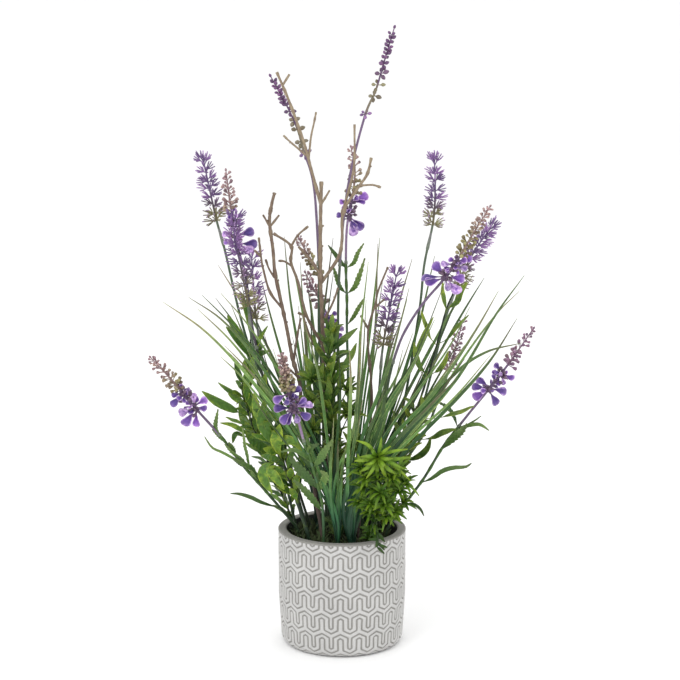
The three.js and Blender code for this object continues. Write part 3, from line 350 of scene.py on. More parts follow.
# A leafy spray: its plastic and slot, its stem and the stem's radius, its leaves as (height on the stem,
# the points that the leaf runs through, width, share of its length that is stalk), and more that fill it out,
# as (lowest, highest, how many, how long, how wide), with how far they lean away from the stem
SPRAYS = {
    "leaf_spray_dark": dict(
        plastic="dark_leaf_plastic", slot="leaf_dark",
        route=[
            (34, 4, 70), (37, 5, 104), (50, 6, 155), (68, 8, 215), (85, 10, 268), (94, 12, 300),
            (103, 14, 335), (110, 16, 352)],
        radius=1.5,
        leaves=[
            (335, [(101, 10, 345), (99, 9, 354), (99, 8, 365)], 4.5, 0.1),
            (336, [(113, 9, 344), (117, 7, 355), (123, 5, 365)], 6, 0.1),
            (300, [(87, 8, 309), (82, 6, 323), (78, 5, 336)], 4.5, 0.3),
            (301, [(104, 9, 307), (113, 7, 319), (125, 5, 332)], 3.4, 0.3),
            (270, [(94, 6, 275), (101, 4, 284), (105, 3, 296)], 4.6, 0.25),
            (262, [(74, 6, 290), (80, 5, 310), (90, 4, 330)], 5, 0.3),
            (269, [(77, 6, 280), (73, 4, 291), (71, 3, 305)], 6, 0.15),
            (226, [(92, 2, 228), (104, -1, 231), (118, -3, 236), (131, -4, 242)], 6.5, 0.45),
            (204, [(88, 0, 208), (101, -3, 215), (113, -5, 219)], 6, 0.3),
            (214, [(76, -4, 228), (80, -8, 242), (78, -10, 254)], 6.5, 0.1),
            (196, [(58, -6, 212), (52, -10, 226), (50, -12, 240)], 7, 0.1),
            (182, [(74, -6, 190), (84, -12, 200), (88, -16, 214)], 6, 0.15),
            (172, [(46, -8, 186), (40, -14, 198), (38, -18, 208)], 7, 0.15)],
        fill=(114, 236, 72, 23, 4.6), lean=(0.2, 1.0),
    ),
    "leaf_spray_broad": dict(
        plastic="broad_leaf_plastic", slot="leaf_green",
        route=[(-27, -31, 70), (-30, -33, 104), (-44, -36, 153), (-60, -37, 200), (-70, -38, 232)],
        radius=2.4,
        leaves=[
            (200, [(-72, -42, 222), (-78, -44, 239), (-74, -46, 259)], 11, 0.15),
            (
                222, [(-62, -43, 240), (-66, -45, 252), (-75, -47, 266), (-75, -47, 276), (-72, -47, 287)],
                10, 0.1),
            (196, [(-64, -46, 214), (-62, -50, 225), (-60, -52, 235)], 11, 0.1),
            (194, [(-64, -44, 211), (-56, -48, 218), (-47, -50, 217), (-39, -50, 208)], 8.5, 0.25),
            (194, [(-70, -44, 188), (-64, -48, 180), (-56, -50, 169)], 8.5, 0.2),
            (196, [(-75, -42, 190), (-76, -44, 178), (-68, -46, 164)], 10, 0.2),
            (216, [(-78, -30, 232), (-84, -24, 246), (-86, -20, 260)], 9, 0.15),
            (204, [(-50, -28, 214), (-42, -22, 226), (-40, -18, 240)], 9, 0.15),
            (180, [(-42, -30, 188), (-32, -26, 196), (-24, -24, 206)], 8, 0.2),
        ],
        fill=(152, 231, 30, 27, 6.6), lean=(0.4, 1.1),
    ),
    "leaf_spray_left": dict(
        plastic="broad_leaf_plastic", slot="leaf_green",
        route=[
            (-44, 18, 70), (-46, 17, 104), (-66, 16, 160), (-88, 14, 214), (-99, 12, 252), (-95, 11, 268),
            (-90, 10, 288), (-91, 11, 306)],
        radius=1.4,
        leaves=[
            (214, [(-98, 8, 229), (-107, 6, 235), (-125, 3, 245), (-139, 1, 256)], 8.5, 0.42),
            (228, [(-98, 10, 246), (-104, 8, 250), (-112, 6, 255), (-123, 4, 264)], 5, 0.45),
            (212, [(-88, 8, 238), (-94, 4, 254), (-97, 2, 264)], 9, 0.1),
            (236, [(-96, 10, 262), (-93, 6, 273), (-88, 4, 282)], 6.5, 0.1),
            (212, [(-99, 6, 221), (-107, 4, 225), (-116, 3, 229)], 5.5, 0.35),
            (204, [(-91, 4, 210), (-101, 1, 217), (-110, 0, 222), (-121, -1, 224)], 4.5, 0.3),
            (184, [(-80, 4, 199), (-89, 0, 208), (-96, -2, 214)], 12, 0.1),
            (200, [(-97, 4, 209), (-106, 1, 212), (-109, 0, 203)], 5.5, 0.3),
            (196, [(-92, 22, 210), (-100, 30, 222), (-104, 36, 236)], 8, 0.2),
            (176, [(-66, 26, 190), (-60, 32, 204), (-62, 36, 218)], 8, 0.2),
            (256, [(-95, 6, 263), (-88, 3, 273), (-87, 2, 284)], 6.5, 0.1),
            (286, [(-92, 6, 291), (-101, 0, 305), (-108, -3, 315), (-114, -5, 322)], 6, 0.2),
            (295, [(-94, 8, 301), (-104, 4, 317), (-109, 3, 325), (-113, 2, 332)], 6, 0.2),
            (304, [(-91, 12, 316), (-93, 13, 330), (-97, 14, 343), (-101, 15, 353)], 5.5, 0.15),
            (290, [(-86, 5, 300), (-80, 2, 311), (-73, 0, 322)], 3.4, 0.3)],
        fill=(116, 296, 72, 22, 5.4), lean=(0.35, 1.0),
    ),
}

# A fern carries whorls of narrow fronds: (height, frond count, frond length). Its star of fronds faces the
# front, at a height, each frond as (across, up, towards the front) from its middle. Side shoots go from a
# height on the stem to the middle of a tuft of fronds that is that wide open. Single leaves are as those of
# the sprays, and drape is the route of a sprig that hangs over the pot's rim.
FERNS = {
    "fern_front": dict(
        plastic="fern_plastic", opening=1.3,
        route=[
            (24, -30, 70), (25, -32, 104), (29, -46, 130), (34, -60, 150), (36, -67, 174), (34, -70, 208)],
        whorls=[
            (116, 7, 10), (126, 7, 12), (136, 9, 15), (144, 10, 17), (152, 10, 18), (160, 10, 18),
            (168, 10, 18), (176, 10, 19), (184, 10, 19), (192, 10, 18), (200, 10, 16)],
        width=2.5, loose=0.7, lean=1.05, tuft=(9, 18), shades=(0.05, 0.62),
        star=(207, [
            (-18, 20, 4), (-9, 11, 8), (5, 20, 4), (14, 12, 10), (27, 11, 6), (16, 3, 14), (34, -3, 4),
            (27, -9, 9), (31, -20, 3), (19, -17, 10), (12, -27, 5), (6, -17, 14), (-1, -26, 6),
            (-9, -20, 10), (-18, -15, 7), (-25, -4, 6), (-17, 3, 10), (10, -8, 17), (-12, -8, 13)]),
        shoots=[
            (150, (28, -68, 160)), (150, (41, -72, 160)), (160, (53, -64, 172)), (158, (21, -62, 174)),
            (138, (43, -64, 146)), (136, (28, -60, 149)), (172, (47, -68, 185)), (170, (24, -66, 185)),
            (150, (59, -58, 158)), (160, (37, -76, 173)), (140, (51, -62, 150)), (142, (18, -56, 158)),
            (182, (54, -64, 192)), (182, (18, -62, 194)), (160, (60, -60, 178))],
        leaves=[], drape=[(29, -46, 130), (33, -60, 130), (35, -67, 124), (34, -70, 117)],
    ),
    "fern_middle": dict(
        plastic="whorled_leaf_plastic", opening=0.85,
        route=[
            (-2, -22, 70), (-3, -24, 104), (-7, -27, 160), (-10, -29, 230), (-12, -29, 280),
            (-11, -28, 318)],
        whorls=[
            (112, 6, 18), (120, 6, 20), (128, 6, 22), (136, 6, 24), (144, 6, 25), (152, 6, 26),
            (160, 6, 27), (168, 7, 28), (176, 7, 28), (184, 7, 28), (192, 7, 28), (200, 7, 28),
            (208, 7, 28), (216, 7, 28), (224, 7, 28), (232, 7, 28), (240, 7, 27), (248, 7, 26),
            (256, 7, 25), (264, 7, 24), (272, 6, 24), (280, 6, 24), (288, 5, 24), (296, 5, 24),
            (304, 4, 24), (311, 4, 24), (317, 4, 24)],
        width=3.9, loose=0.45, lean=0.7, tuft=(14, 23), shades=(0.1, 1.0), star=(0, []),
        shoots=[
            (200, (6, -32, 238)), (215, (-30, -30, 250)), (185, (-28, -34, 222)), (170, (10, -34, 206)),
            (230, (4, -32, 262)), (240, (-28, -30, 272)), (160, (-26, -32, 196)), (150, (8, -34, 184))],
        leaves=[
            (296, [(-13, -29, 303), (-12, -30, 315), (-11, -29, 331)], 8, 0.1),
            (298, [(-11, -29, 304), (-6, -29, 320), (-2, -28, 327)], 6, 0.1),
            (292, [(-5, -29, 307), (4, -29, 316), (15, -28, 325)], 6, 0.25),
            (270, [(-1, -29, 284), (9, -28, 298), (14, -27, 310)], 5.5, 0.3),
            (258, [(-22, -29, 274), (-31, -28, 288), (-38, -27, 300)], 7, 0.12),
            (285, [(-18, -29, 297), (-25, -29, 308), (-29, -28, 318)], 4.5, 0.1),
            (262, [(-14, -33, 277), (-10, -35, 292), (-6, -36, 303)], 7.5, 0.1),
            (262, [(-6, -32, 277), (0, -33, 286), (8, -34, 289)], 5, 0.2),
            (258, [(-20, -32, 272), (-20, -34, 283), (-18, -35, 292)], 5, 0.1),
            (252, [(-3, -32, 266), (0, -33, 277), (-1, -33, 288)], 6, 0.1),
            (244, [(-14, -34, 256), (-12, -38, 268), (-14, -40, 279)], 6.5, 0.1),
            (236, [(-22, -33, 248), (-28, -34, 258), (-36, -34, 266)], 5.5, 0.15)],
        drape=None,
    ),
}

# What a pick has where its row says nothing else
STEM_SHADE = 0.4
PETAL_SHADES = (0.15, 1.0)
LOOSE_LEAVES = 4


def colour(name, description, default):
    return bpy.props.FloatVectorProperty(
        name=name, description=description, subtype="COLOR", size=3, min=0.0, max=1.0, default=default
    )


def length(name, description, default):
    return bpy.props.FloatProperty(
        name=name, description=description, unit="LENGTH", subtype="DISTANCE", min=0.0,
        precision=5, default=default * MM,
    )


class PotLooks(bpy.types.PropertyGroup):
    """Sizes and colours of the pot"""

    groove_depth: length("Groove depth", "Depth of the lines between the raised bands", 0.9)
    groove_width: length("Groove width", "Width of those lines at the surface", 2.25)
    whitewash: colour("Whitewash", "Colour of the raised bands", (0.535, 0.53, 0.52))
    cement: colour("Cement", "Colour of the grooves and the rim", (0.275, 0.268, 0.25))
    # The inside wall's near-black colour is painted shade inside the pot
    damp: colour("Damp", "Colour of the inside wall", (0.035, 0.035, 0.032))


class StemLooks(bpy.types.PropertyGroup):
    """Sizes and colours of the wired stems"""

    radius: length("Stem radius", "Radius of a stem at its foot", 1.5)
    tip_radius: length("Tip radius", "Radius of a stem at its top", 1.2)
    sheath_radius: length("Sheath radius", "Radius of the collar's lower end", 1.8)
    green: colour("Green", "Colour of the stems low down", (0.035, 0.075, 0.03))
    grey_green: colour("Grey green", "Colour of the sheaths", (0.14, 0.165, 0.125))
    purple: colour("Purple", "Colour of the stems under the flowers", (0.165, 0.105, 0.195))


class FlowerLooks(bpy.types.PropertyGroup):
    """Sizes and colours of needles, beads, buds and petals"""

    needle_length: length("Needle length", "Length of a needle of a floret", 9.4)
    needle_olive: colour("Needle olive", "Colour of the lowest florets", (0.20, 0.185, 0.095))
    needle_violet: colour("Needle violet", "Colour of the florets", (0.185, 0.105, 0.255))
    needle_tip: colour("Needle tip", "Colour of the needles' tips", (0.35, 0.235, 0.42))
    bead_tan: colour("Bead tan", "Colour of the beads high up", (0.36, 0.225, 0.23))
    bead_olive: colour("Bead olive", "Colour of the beads low down", (0.25, 0.215, 0.10))
    petal_violet: colour("Petal violet", "Colour of the petals", (0.135, 0.064, 0.31))
    # The rims' lilac is partly the petals' own pale edge and partly a painted highlight
    petal_lilac: colour("Petal lilac", "Colour of the petals' rims", (0.50, 0.345, 0.60))


class LeafLooks(bpy.types.PropertyGroup):
    """Sizes and colours of leaves, fronds, grass and moss"""

    thickness: length("Leaf thickness", "Thickness of a moulded leaf", 0.45)
    leaf: colour("Leaf", "Colour of the broad leaves", (0.052, 0.13, 0.013))
    leaf_rim: colour("Leaf rim", "Colour along the edge of the broad leaves", (0.17, 0.25, 0.02))
    dark_leaf: colour("Dark leaf", "Colour of the dark spray's leaves", (0.045, 0.10, 0.012))
    serrated: colour("Serrated leaf", "Colour of the serrated leaves", (0.070, 0.145, 0.028))
    fern: colour("Fern", "Colour of the front fern's fronds", (0.09, 0.205, 0.010))
    whorled: colour("Whorled leaf", "Colour of the middle fern's fronds", (0.052, 0.13, 0.016))
    grass: colour("Grass", "Colour of the blades", (0.078, 0.19, 0.042))
    grass_tip: colour("Grass tip", "Colour of the blades' tips", (0.23, 0.17, 0.12))
    moss: colour("Moss", "Colour of the moss", (0.042, 0.075, 0.02))


class TwigLooks(bpy.types.PropertyGroup):
    """Colours of the bare twigs"""

    bark: colour("Bark", "Colour of the twigs low down", (0.085, 0.06, 0.05))
    pale_bark: colour("Pale bark", "Colour of the twigs' ends", (0.29, 0.225, 0.155))


class StageLooks(bpy.types.PropertyGroup):
    """Floor and light"""

    floor: colour("Floor", "Colour of the floor", (0.97, 0.97, 0.97))
    sky: bpy.props.FloatProperty(
        name="Sky", description="Strength of the even light all round", min=0.0, default=1.05
    )
    key: bpy.props.FloatProperty(
        name="Key light", description="Power of the large soft light", unit="POWER", min=0.0, default=18.0
    )


def unit(vector):
    return vector / np.linalg.norm(vector)


def run(points):
    """The length of a line through points"""
    return np.linalg.norm(np.diff(points, axis=0), axis=1).sum()


def headings(spine):
    """Which way a line runs at each of its points"""
    along = np.gradient(spine, axis=0)
    return along / np.linalg.norm(along, axis=1)[:, None]


def square_to(along, facing):
    """One direction made square to each of many"""
    face = facing - along * (along @ facing)[:, None]
    return face / np.maximum(np.linalg.norm(face, axis=1), 1e-6)[:, None]


def shares(spine):
    """Numbers from 0 to 1, one for each point of a spine"""
    return np.linspace(0, 1, len(spine))


def dice(name):
    """A source of chance that is the same on each run"""
    return random.Random(zlib.crc32(name.encode()))


def jitter(chance, loose):
    return np.array([chance.uniform(-loose, loose) for _ in range(3)])


def smoothstep(value):
    value = np.clip(value, 0, 1)
    return value * value * (3 - 2 * value)


def darker(shown, share):
    return tuple(channel * share for channel in shown)


def blended(a, b, share):
    return tuple(x + (y - x) * share for x, y in zip(a, b))


class Route:
    """A smooth curve through given points, a uniform Catmull-Rom spline.
    Its parameter runs from 0 at its foot to 1 at its tip."""

    def __init__(self, points):
        self.points = np.array(points, float)

    def at(self, t):
        last = len(self.points) - 1
        place = min(max(t, 0.0), 1.0) * last
        i = min(int(place), last - 1)
        u = place - i
        here, ahead = self.points[i], self.points[i + 1]
        before = self.points[i - 1] if i > 0 else 2 * here - ahead
        after = self.points[i + 2] if i + 2 <= last else 2 * ahead - here
        leave, arrive = (ahead - before) / 2, (after - here) / 2
        cubic = 2 * here - 2 * ahead + leave + arrive
        square = -3 * here + 3 * ahead - 2 * leave - arrive
        return cubic * u**3 + square * u**2 + leave * u + here

    def along(self, t):
        low, high = max(t - 1e-3, 0.0), min(t + 1e-3, 1.0)
        return unit(self.at(high) - self.at(low))

    def at_height(self, height):
        """The parameter where the route reaches a height"""
        low, high = 0.0, 1.0
        while high - low > 1e-5:
            middle = (low + high) / 2
            if self.at(middle)[2] < height:
                low = middle
            else:
                high = middle
        return low

    def spot(self, height):
        """The point where the route reaches a height"""
        return self.at(self.at_height(height))

    def stretch(self, low, high, step):
        """Points along the route from one parameter to another, about one step apart"""
        rough = np.array([self.at(t) for t in np.linspace(low, high, 40)])
        count = max(3, round(run(rough) / step) + 1)
        return np.array([self.at(t) for t in np.linspace(low, high, count)])


def leaning(along, angle, lean):
    """A direction that leans away from another one, at an angle round it"""
    square = unit(np.cross(RIGHT, along))
    square = square * math.cos(angle) + np.cross(along, square) * math.sin(angle)
    return along * math.cos(lean) + square * math.sin(lean)


def frames(spine):
    """Two square directions at each point of a spine, turning as little as they can between points"""
    along = headings(spine)
    side = UP if abs(along[0][2]) < 0.9 else FRONT
    across = np.empty_like(along)
    for i, ahead in enumerate(along):
        side = unit(side - ahead * side.dot(ahead))
        across[i] = side
    return across, np.cross(along, across)


def quads(*corners):
    """Faces of four corners each, from one grid of numbers for each corner"""
    return np.stack(corners, axis=-1).reshape(-1, 4).tolist()


@functools.cache
def tube_faces(rings, sides):
    grid = np.arange(rings * sides).reshape(rings, sides)
    turned = np.roll(grid, -1, axis=1)
    foot, head = rings * sides, rings * sides + 1
    caps = [(foot, int(turned[0][j]), int(grid[0][j])) for j in range(sides)]
    caps += [(head, int(grid[-1][j]), int(turned[-1][j])) for j in range(sides)]
    return quads(grid[:-1], turned[:-1], turned[1:], grid[1:]) + caps


@functools.cache
def sheet_faces(rows, columns):
    offset = rows * columns
    top = np.arange(offset).reshape(rows, columns)
    bottom = top + offset
    loop = [*top[:, 0], *top[-1, 1:], *top[-2::-1, -1], *top[0, -2:0:-1]]
    rim = [(int(b), int(a), int(a) + offset, int(b) + offset) for a, b in zip(loop, loop[1:] + loop[:1])]
    return (
        quads(top[:-1, :-1], top[1:, :-1], top[1:, 1:], top[:-1, 1:])
        + quads(bottom[:-1, :-1], bottom[:-1, 1:], bottom[1:, 1:], bottom[1:, :-1])
        + rim
    )


def along_tube(values, rings, sides):
    """Values given along a tube, one for each of its vertices"""
    values = np.broadcast_to(np.asarray(values, float), (rings,))
    return np.concatenate([np.repeat(values, sides), values[:1], values[-1:]])


class Skin:
    """Gathers the mesh of one piece. Each vertex has a tone along its part from 0 to 1, a shade that is
    its part's own, and an edge from 0 in the middle of its part to 1 at its edge."""

    def __init__(self):
        self.places = []
        self.faces = []
        self.marks = []
        self.count = 0

    def add(self, places, faces, tone, shade, edge):
        places = np.asarray(places, float).reshape(-1, 3)
        marks = np.empty((len(places), 3))
        marks[:, 0], marks[:, 1], marks[:, 2] = tone, shade, edge
        self.places.append(places)
        self.marks.append(marks)
        self.faces.extend([v + self.count for v in face] for face in faces)
        self.count += len(places)

    def tube(self, spine, radii, sides, tone, shade, edge=0.0):
        """A closed round body along a spine, with a radius at each of its points"""
        spine = np.asarray(spine, float)
        rings = len(spine)
        radii = np.broadcast_to(np.asarray(radii, float), (rings,))
        across, up = frames(spine)
        turns = np.arange(sides) * (2 * math.pi / sides)
        spokes = np.cos(turns)[None, :, None] * across[:, None] + np.sin(turns)[None, :, None] * up[:, None]
        skin = (spine[:, None] + spokes * radii[:, None, None]).reshape(-1, 3)
        places = np.concatenate([skin, spine[:1], spine[-1:]])
        tone, edge = (along_tube(values, rings, sides) for values in (tone, edge))
        self.add(places, tube_faces(rings, sides), tone, shade, edge)

    def sheet(self, grid, thickness, tone, shade, edge):
        """A closed thin body whose middle is a grid of points, rows along it and columns across it"""
        rows, columns = grid.shape[:2]
        face = np.cross(np.gradient(grid, axis=0), np.gradient(grid, axis=1))
        face /= np.maximum(np.linalg.norm(face, axis=2), 1e-9)[..., None]
        half = face * (thickness / 2)
        places = np.concatenate([(grid + half).reshape(-1, 3), (grid - half).reshape(-1, 3)])
        tone = np.broadcast_to(np.asarray(tone, float).reshape(-1, 1), (rows, columns)).ravel()
        edge = np.broadcast_to(np.asarray(edge, float), (rows, columns)).ravel()
        self.add(places, sheet_faces(rows, columns), np.tile(tone, 2), shade, np.tile(edge, 2))

    def make(self, name, material, nodes, slot, sharp_degrees=50):
        """Turns what was gathered into a piece that stands for those nodes of the frame"""
        mesh = bpy.data.meshes.new(name)
        places = np.concatenate(self.places) * MM
        mesh.from_pydata(places.tolist(), [], self.faces)
        marks = np.concatenate(self.marks).astype(np.float32)
        for column, attribute in enumerate(("tone", "shade", "edge")):
            made = mesh.attributes.new(attribute, "FLOAT", "POINT")
            made.data.foreach_set("value", np.ascontiguousarray(marks[:, column]))
        mesh.validate()
        mesh.shade_smooth()
        mesh.set_sharp_from_angle(angle=math.radians(sharp_degrees))
        mesh.materials.append(material)
        made = bpy.data.objects.new(name, mesh)
        bpy.context.scene.collection.objects.link(made)
        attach(made, "root")
        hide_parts(*nodes)
        return made


class Recipe:
    """A node material under construction."""

    def __init__(self, name):
        self.material = bpy.data.materials.new(name)
        self.material.use_nodes = True
        self.tree = self.material.node_tree
        self.shader = self.tree.nodes["Principled BSDF"]
        self.place = self.node("ShaderNodeTexCoord").outputs["Object"]

    def node(self, kind, feeds=(), **settings):
        made = self.tree.nodes.new(kind)
        for key, value in settings.items():
            setattr(made, key, value)
        for key, value in dict(feeds).items():
            self.feed(made.inputs[key], value)
        return made

    def feed(self, socket, value):
        if isinstance(value, bpy.types.NodeSocket):
            self.tree.links.new(value, socket)
        else:
            socket.default_value = value

    def mark(self, name):
        return self.node("ShaderNodeAttribute", attribute_name=name).outputs["Fac"]

    def noise(self, size, detail=3.0, place=None):
        """Noise whose blotches are about that many millimetres across"""
        feeds = {"Vector": place or self.place, "Scale": 1 / (size * MM), "Detail": detail}
        return self.node("ShaderNodeTexNoise", feeds).outputs["Fac"]

    def cells(self, size):
        """Distance from the middle of the nearest cell, with cells that many millimetres across"""
        feeds = {"Vector": self.place, "Scale": 1 / (size * MM)}
        return self.node("ShaderNodeTexVoronoi", feeds).outputs["Distance"]

    def math(self, operation, a, b=0.0):
        return self.node("ShaderNodeMath", {0: a, 1: b}, operation=operation).outputs[0]

    def span(self, value, low, high, to_low, to_high):
        """Maps one range of values on another"""
        feeds = {"Value": value, "From Min": low, "From Max": high, "To Min": to_low, "To Max": to_high}
        return self.node("ShaderNodeMapRange", feeds).outputs[0]

    def swing(self, noise, to_low, to_high):
        """Maps the range that noise mostly keeps to on another"""
        return self.span(noise, 0.3, 0.7, to_low, to_high)

    def mix(self, share, a, b):
        made = self.node("ShaderNodeMix", data_type="RGBA", blend_type="MIX")
        for socket, value in ((0, share), (6, a), (7, b)):
            self.feed(made.inputs[socket], value if not isinstance(value, tuple) else (*value, 1.0))
        return made.outputs[2]

    def ramp(self, value, stops):
        made = self.node("ShaderNodeValToRGB", {"Fac": value})
        elements = made.color_ramp.elements
        while len(elements) < len(stops):
            elements.new(0.5)
        for element, (position, shown) in zip(elements, stops):
            element.position = position
            element.color = (*shown, 1.0)
        return made.outputs["Color"]

    def vary(self, shown, value, hue=0.5):
        feeds = {"Hue": hue, "Saturation": 1.0, "Value": value, "Color": shown}
        return self.node("ShaderNodeHueSaturation", feeds).outputs["Color"]

    def bump(self, height, depth, normal=None):
        """Relief of that depth in millimetres"""
        feeds = {"Height": height, "Distance": depth * MM, "Strength": 1.0}
        if normal is not None:
            feeds["Normal"] = normal
        return self.node("ShaderNodeBump", feeds).outputs["Normal"]

    def finish(self, shown, roughness, normal, specular=0.5):
        feeds = {
            "Base Color": shown,
            "Roughness": roughness,
            "Normal": normal,
            "Specular IOR Level": specular,
        }
        for key, value in feeds.items():
            self.feed(self.shader.inputs[key], value)
        return self.material


def looks():
    """Where the panel's sizes and colours are kept"""
    return bpy.context.scene


def palette():
    """The colours in the panel, by name"""
    values = {
        name: getattr(getattr(looks(), group), name)
        for group, kind in LOOKS.items()
        for name in kind.__annotations__
    }
    return types.SimpleNamespace(
        **{name: tuple(value) for name, value in values.items() if not isinstance(value, float)}
    )


def once(make):
    """A material is made the first time that it is asked for"""

    @functools.wraps(make)
    def get():
        return bpy.data.materials.get(make.__name__) or make(Recipe(make.__name__), palette())

    return get


@once
def whitewashed_cement(recipe, paint):
    """Cement with whitewash on its raised bands, rubbed a little at their edges, and near-black inside:
    painted shade in the pot
    """
    groove, plain = recipe.mark("tone"), recipe.mark("edge")
    rub = recipe.swing(recipe.noise(1.2, 4.0), -0.12, 0.12)
    dusty = blended(paint.cement, paint.whitewash, 0.1)
    shown = paint.whitewash
    for mark, under in ((groove, dusty), (plain, paint.cement)):
        worn = recipe.math("ADD", mark, rub)
        shown = recipe.mix(recipe.span(worn, 0.25, 0.75, 0.0, 1.0), shown, under)
    # The shade mark is 1.0 on the inside wall and mixes in near-black there: painted shade inside the pot
    shown = recipe.mix(recipe.span(recipe.mark("shade"), 0.5, 1.0, 0.0, 1.0), shown, paint.damp)
    clouds = recipe.swing(recipe.noise(24.0, 3.0), 0.95, 1.05)
    grains = recipe.span(recipe.noise(0.7, 2.0), 0.25, 0.6, 0.9, 1.04)
    shown = recipe.vary(shown, recipe.math("MULTIPLY", clouds, grains))
    # Small pits are sunk by the bump and darkened: painted shade in the pits
    pit = recipe.span(recipe.cells(3.2), 0.0, 0.14, 0.0, 1.0)
    shown = recipe.mix(recipe.span(pit, 0.0, 1.0, 0.3, 0.0), shown, darker(paint.cement, 0.6))
    normal = recipe.bump(recipe.noise(0.9, 5.0), 0.12, recipe.bump(pit, 0.15))
    return recipe.finish(shown, recipe.span(clouds, 0.95, 1.05, 0.82, 0.95), normal, 0.25)


@once
def plug_foam(recipe, paint):
    """Open-celled green foam, darkened and sunk in the middle of each cell: painted shade in the pores"""
    cell = recipe.span(recipe.cells(0.9), 0.0, 0.6, 0.0, 1.0)
    shown = recipe.ramp(cell, [(0.0, (0.008, 0.012, 0.006)), (1.0, (0.045, 0.06, 0.03))])
    shown = recipe.vary(shown, recipe.swing(recipe.noise(8.0), 0.7, 1.3))
    return recipe.finish(shown, recipe.span(cell, 0.0, 1.0, 0.98, 0.85), recipe.bump(cell, 0.4))


@once
def twig_plastic(recipe, paint):
    """Dark bark low down, pale brown at the ends, with fine lengthwise cracks"""
    mauve = (0.165, 0.115, 0.085)
    stops = [(0.0, paint.bark), (0.35, mauve), (0.75, blended(mauve, paint.pale_bark, 0.8)),
             (1.0, paint.pale_bark)]
    shown = recipe.ramp(recipe.mark("tone"), stops)
    stretched = recipe.node("ShaderNodeMapping", {"Vector": recipe.place, "Scale": (1.0, 1.0, 0.12)})
    cracks = recipe.noise(0.8, 5.0, stretched.outputs[0])
    blotch = recipe.noise(7.0, 3.0)
    light = recipe.math("MULTIPLY", recipe.swing(cracks, 0.72, 1.25), recipe.swing(blotch, 0.82, 1.18))
    shown = recipe.vary(shown, light, recipe.swing(blotch, 0.49, 0.515))
    normal = recipe.bump(cracks, 0.25, recipe.bump(recipe.noise(0.4, 2.0), 0.05))
    return recipe.finish(shown, recipe.swing(cracks, 0.85, 0.65), normal, 0.3)


@once
def stage_floor(recipe, paint):
    soft = recipe.swing(recipe.noise(400.0, 2.0), 0.99, 1.01)
    shown = recipe.vary(recipe.mix(0.0, paint.floor, (1.0, 1.0, 1.0)), soft)
    return recipe.finish(shown, 0.9, recipe.bump(recipe.noise(2.0), 0.01))


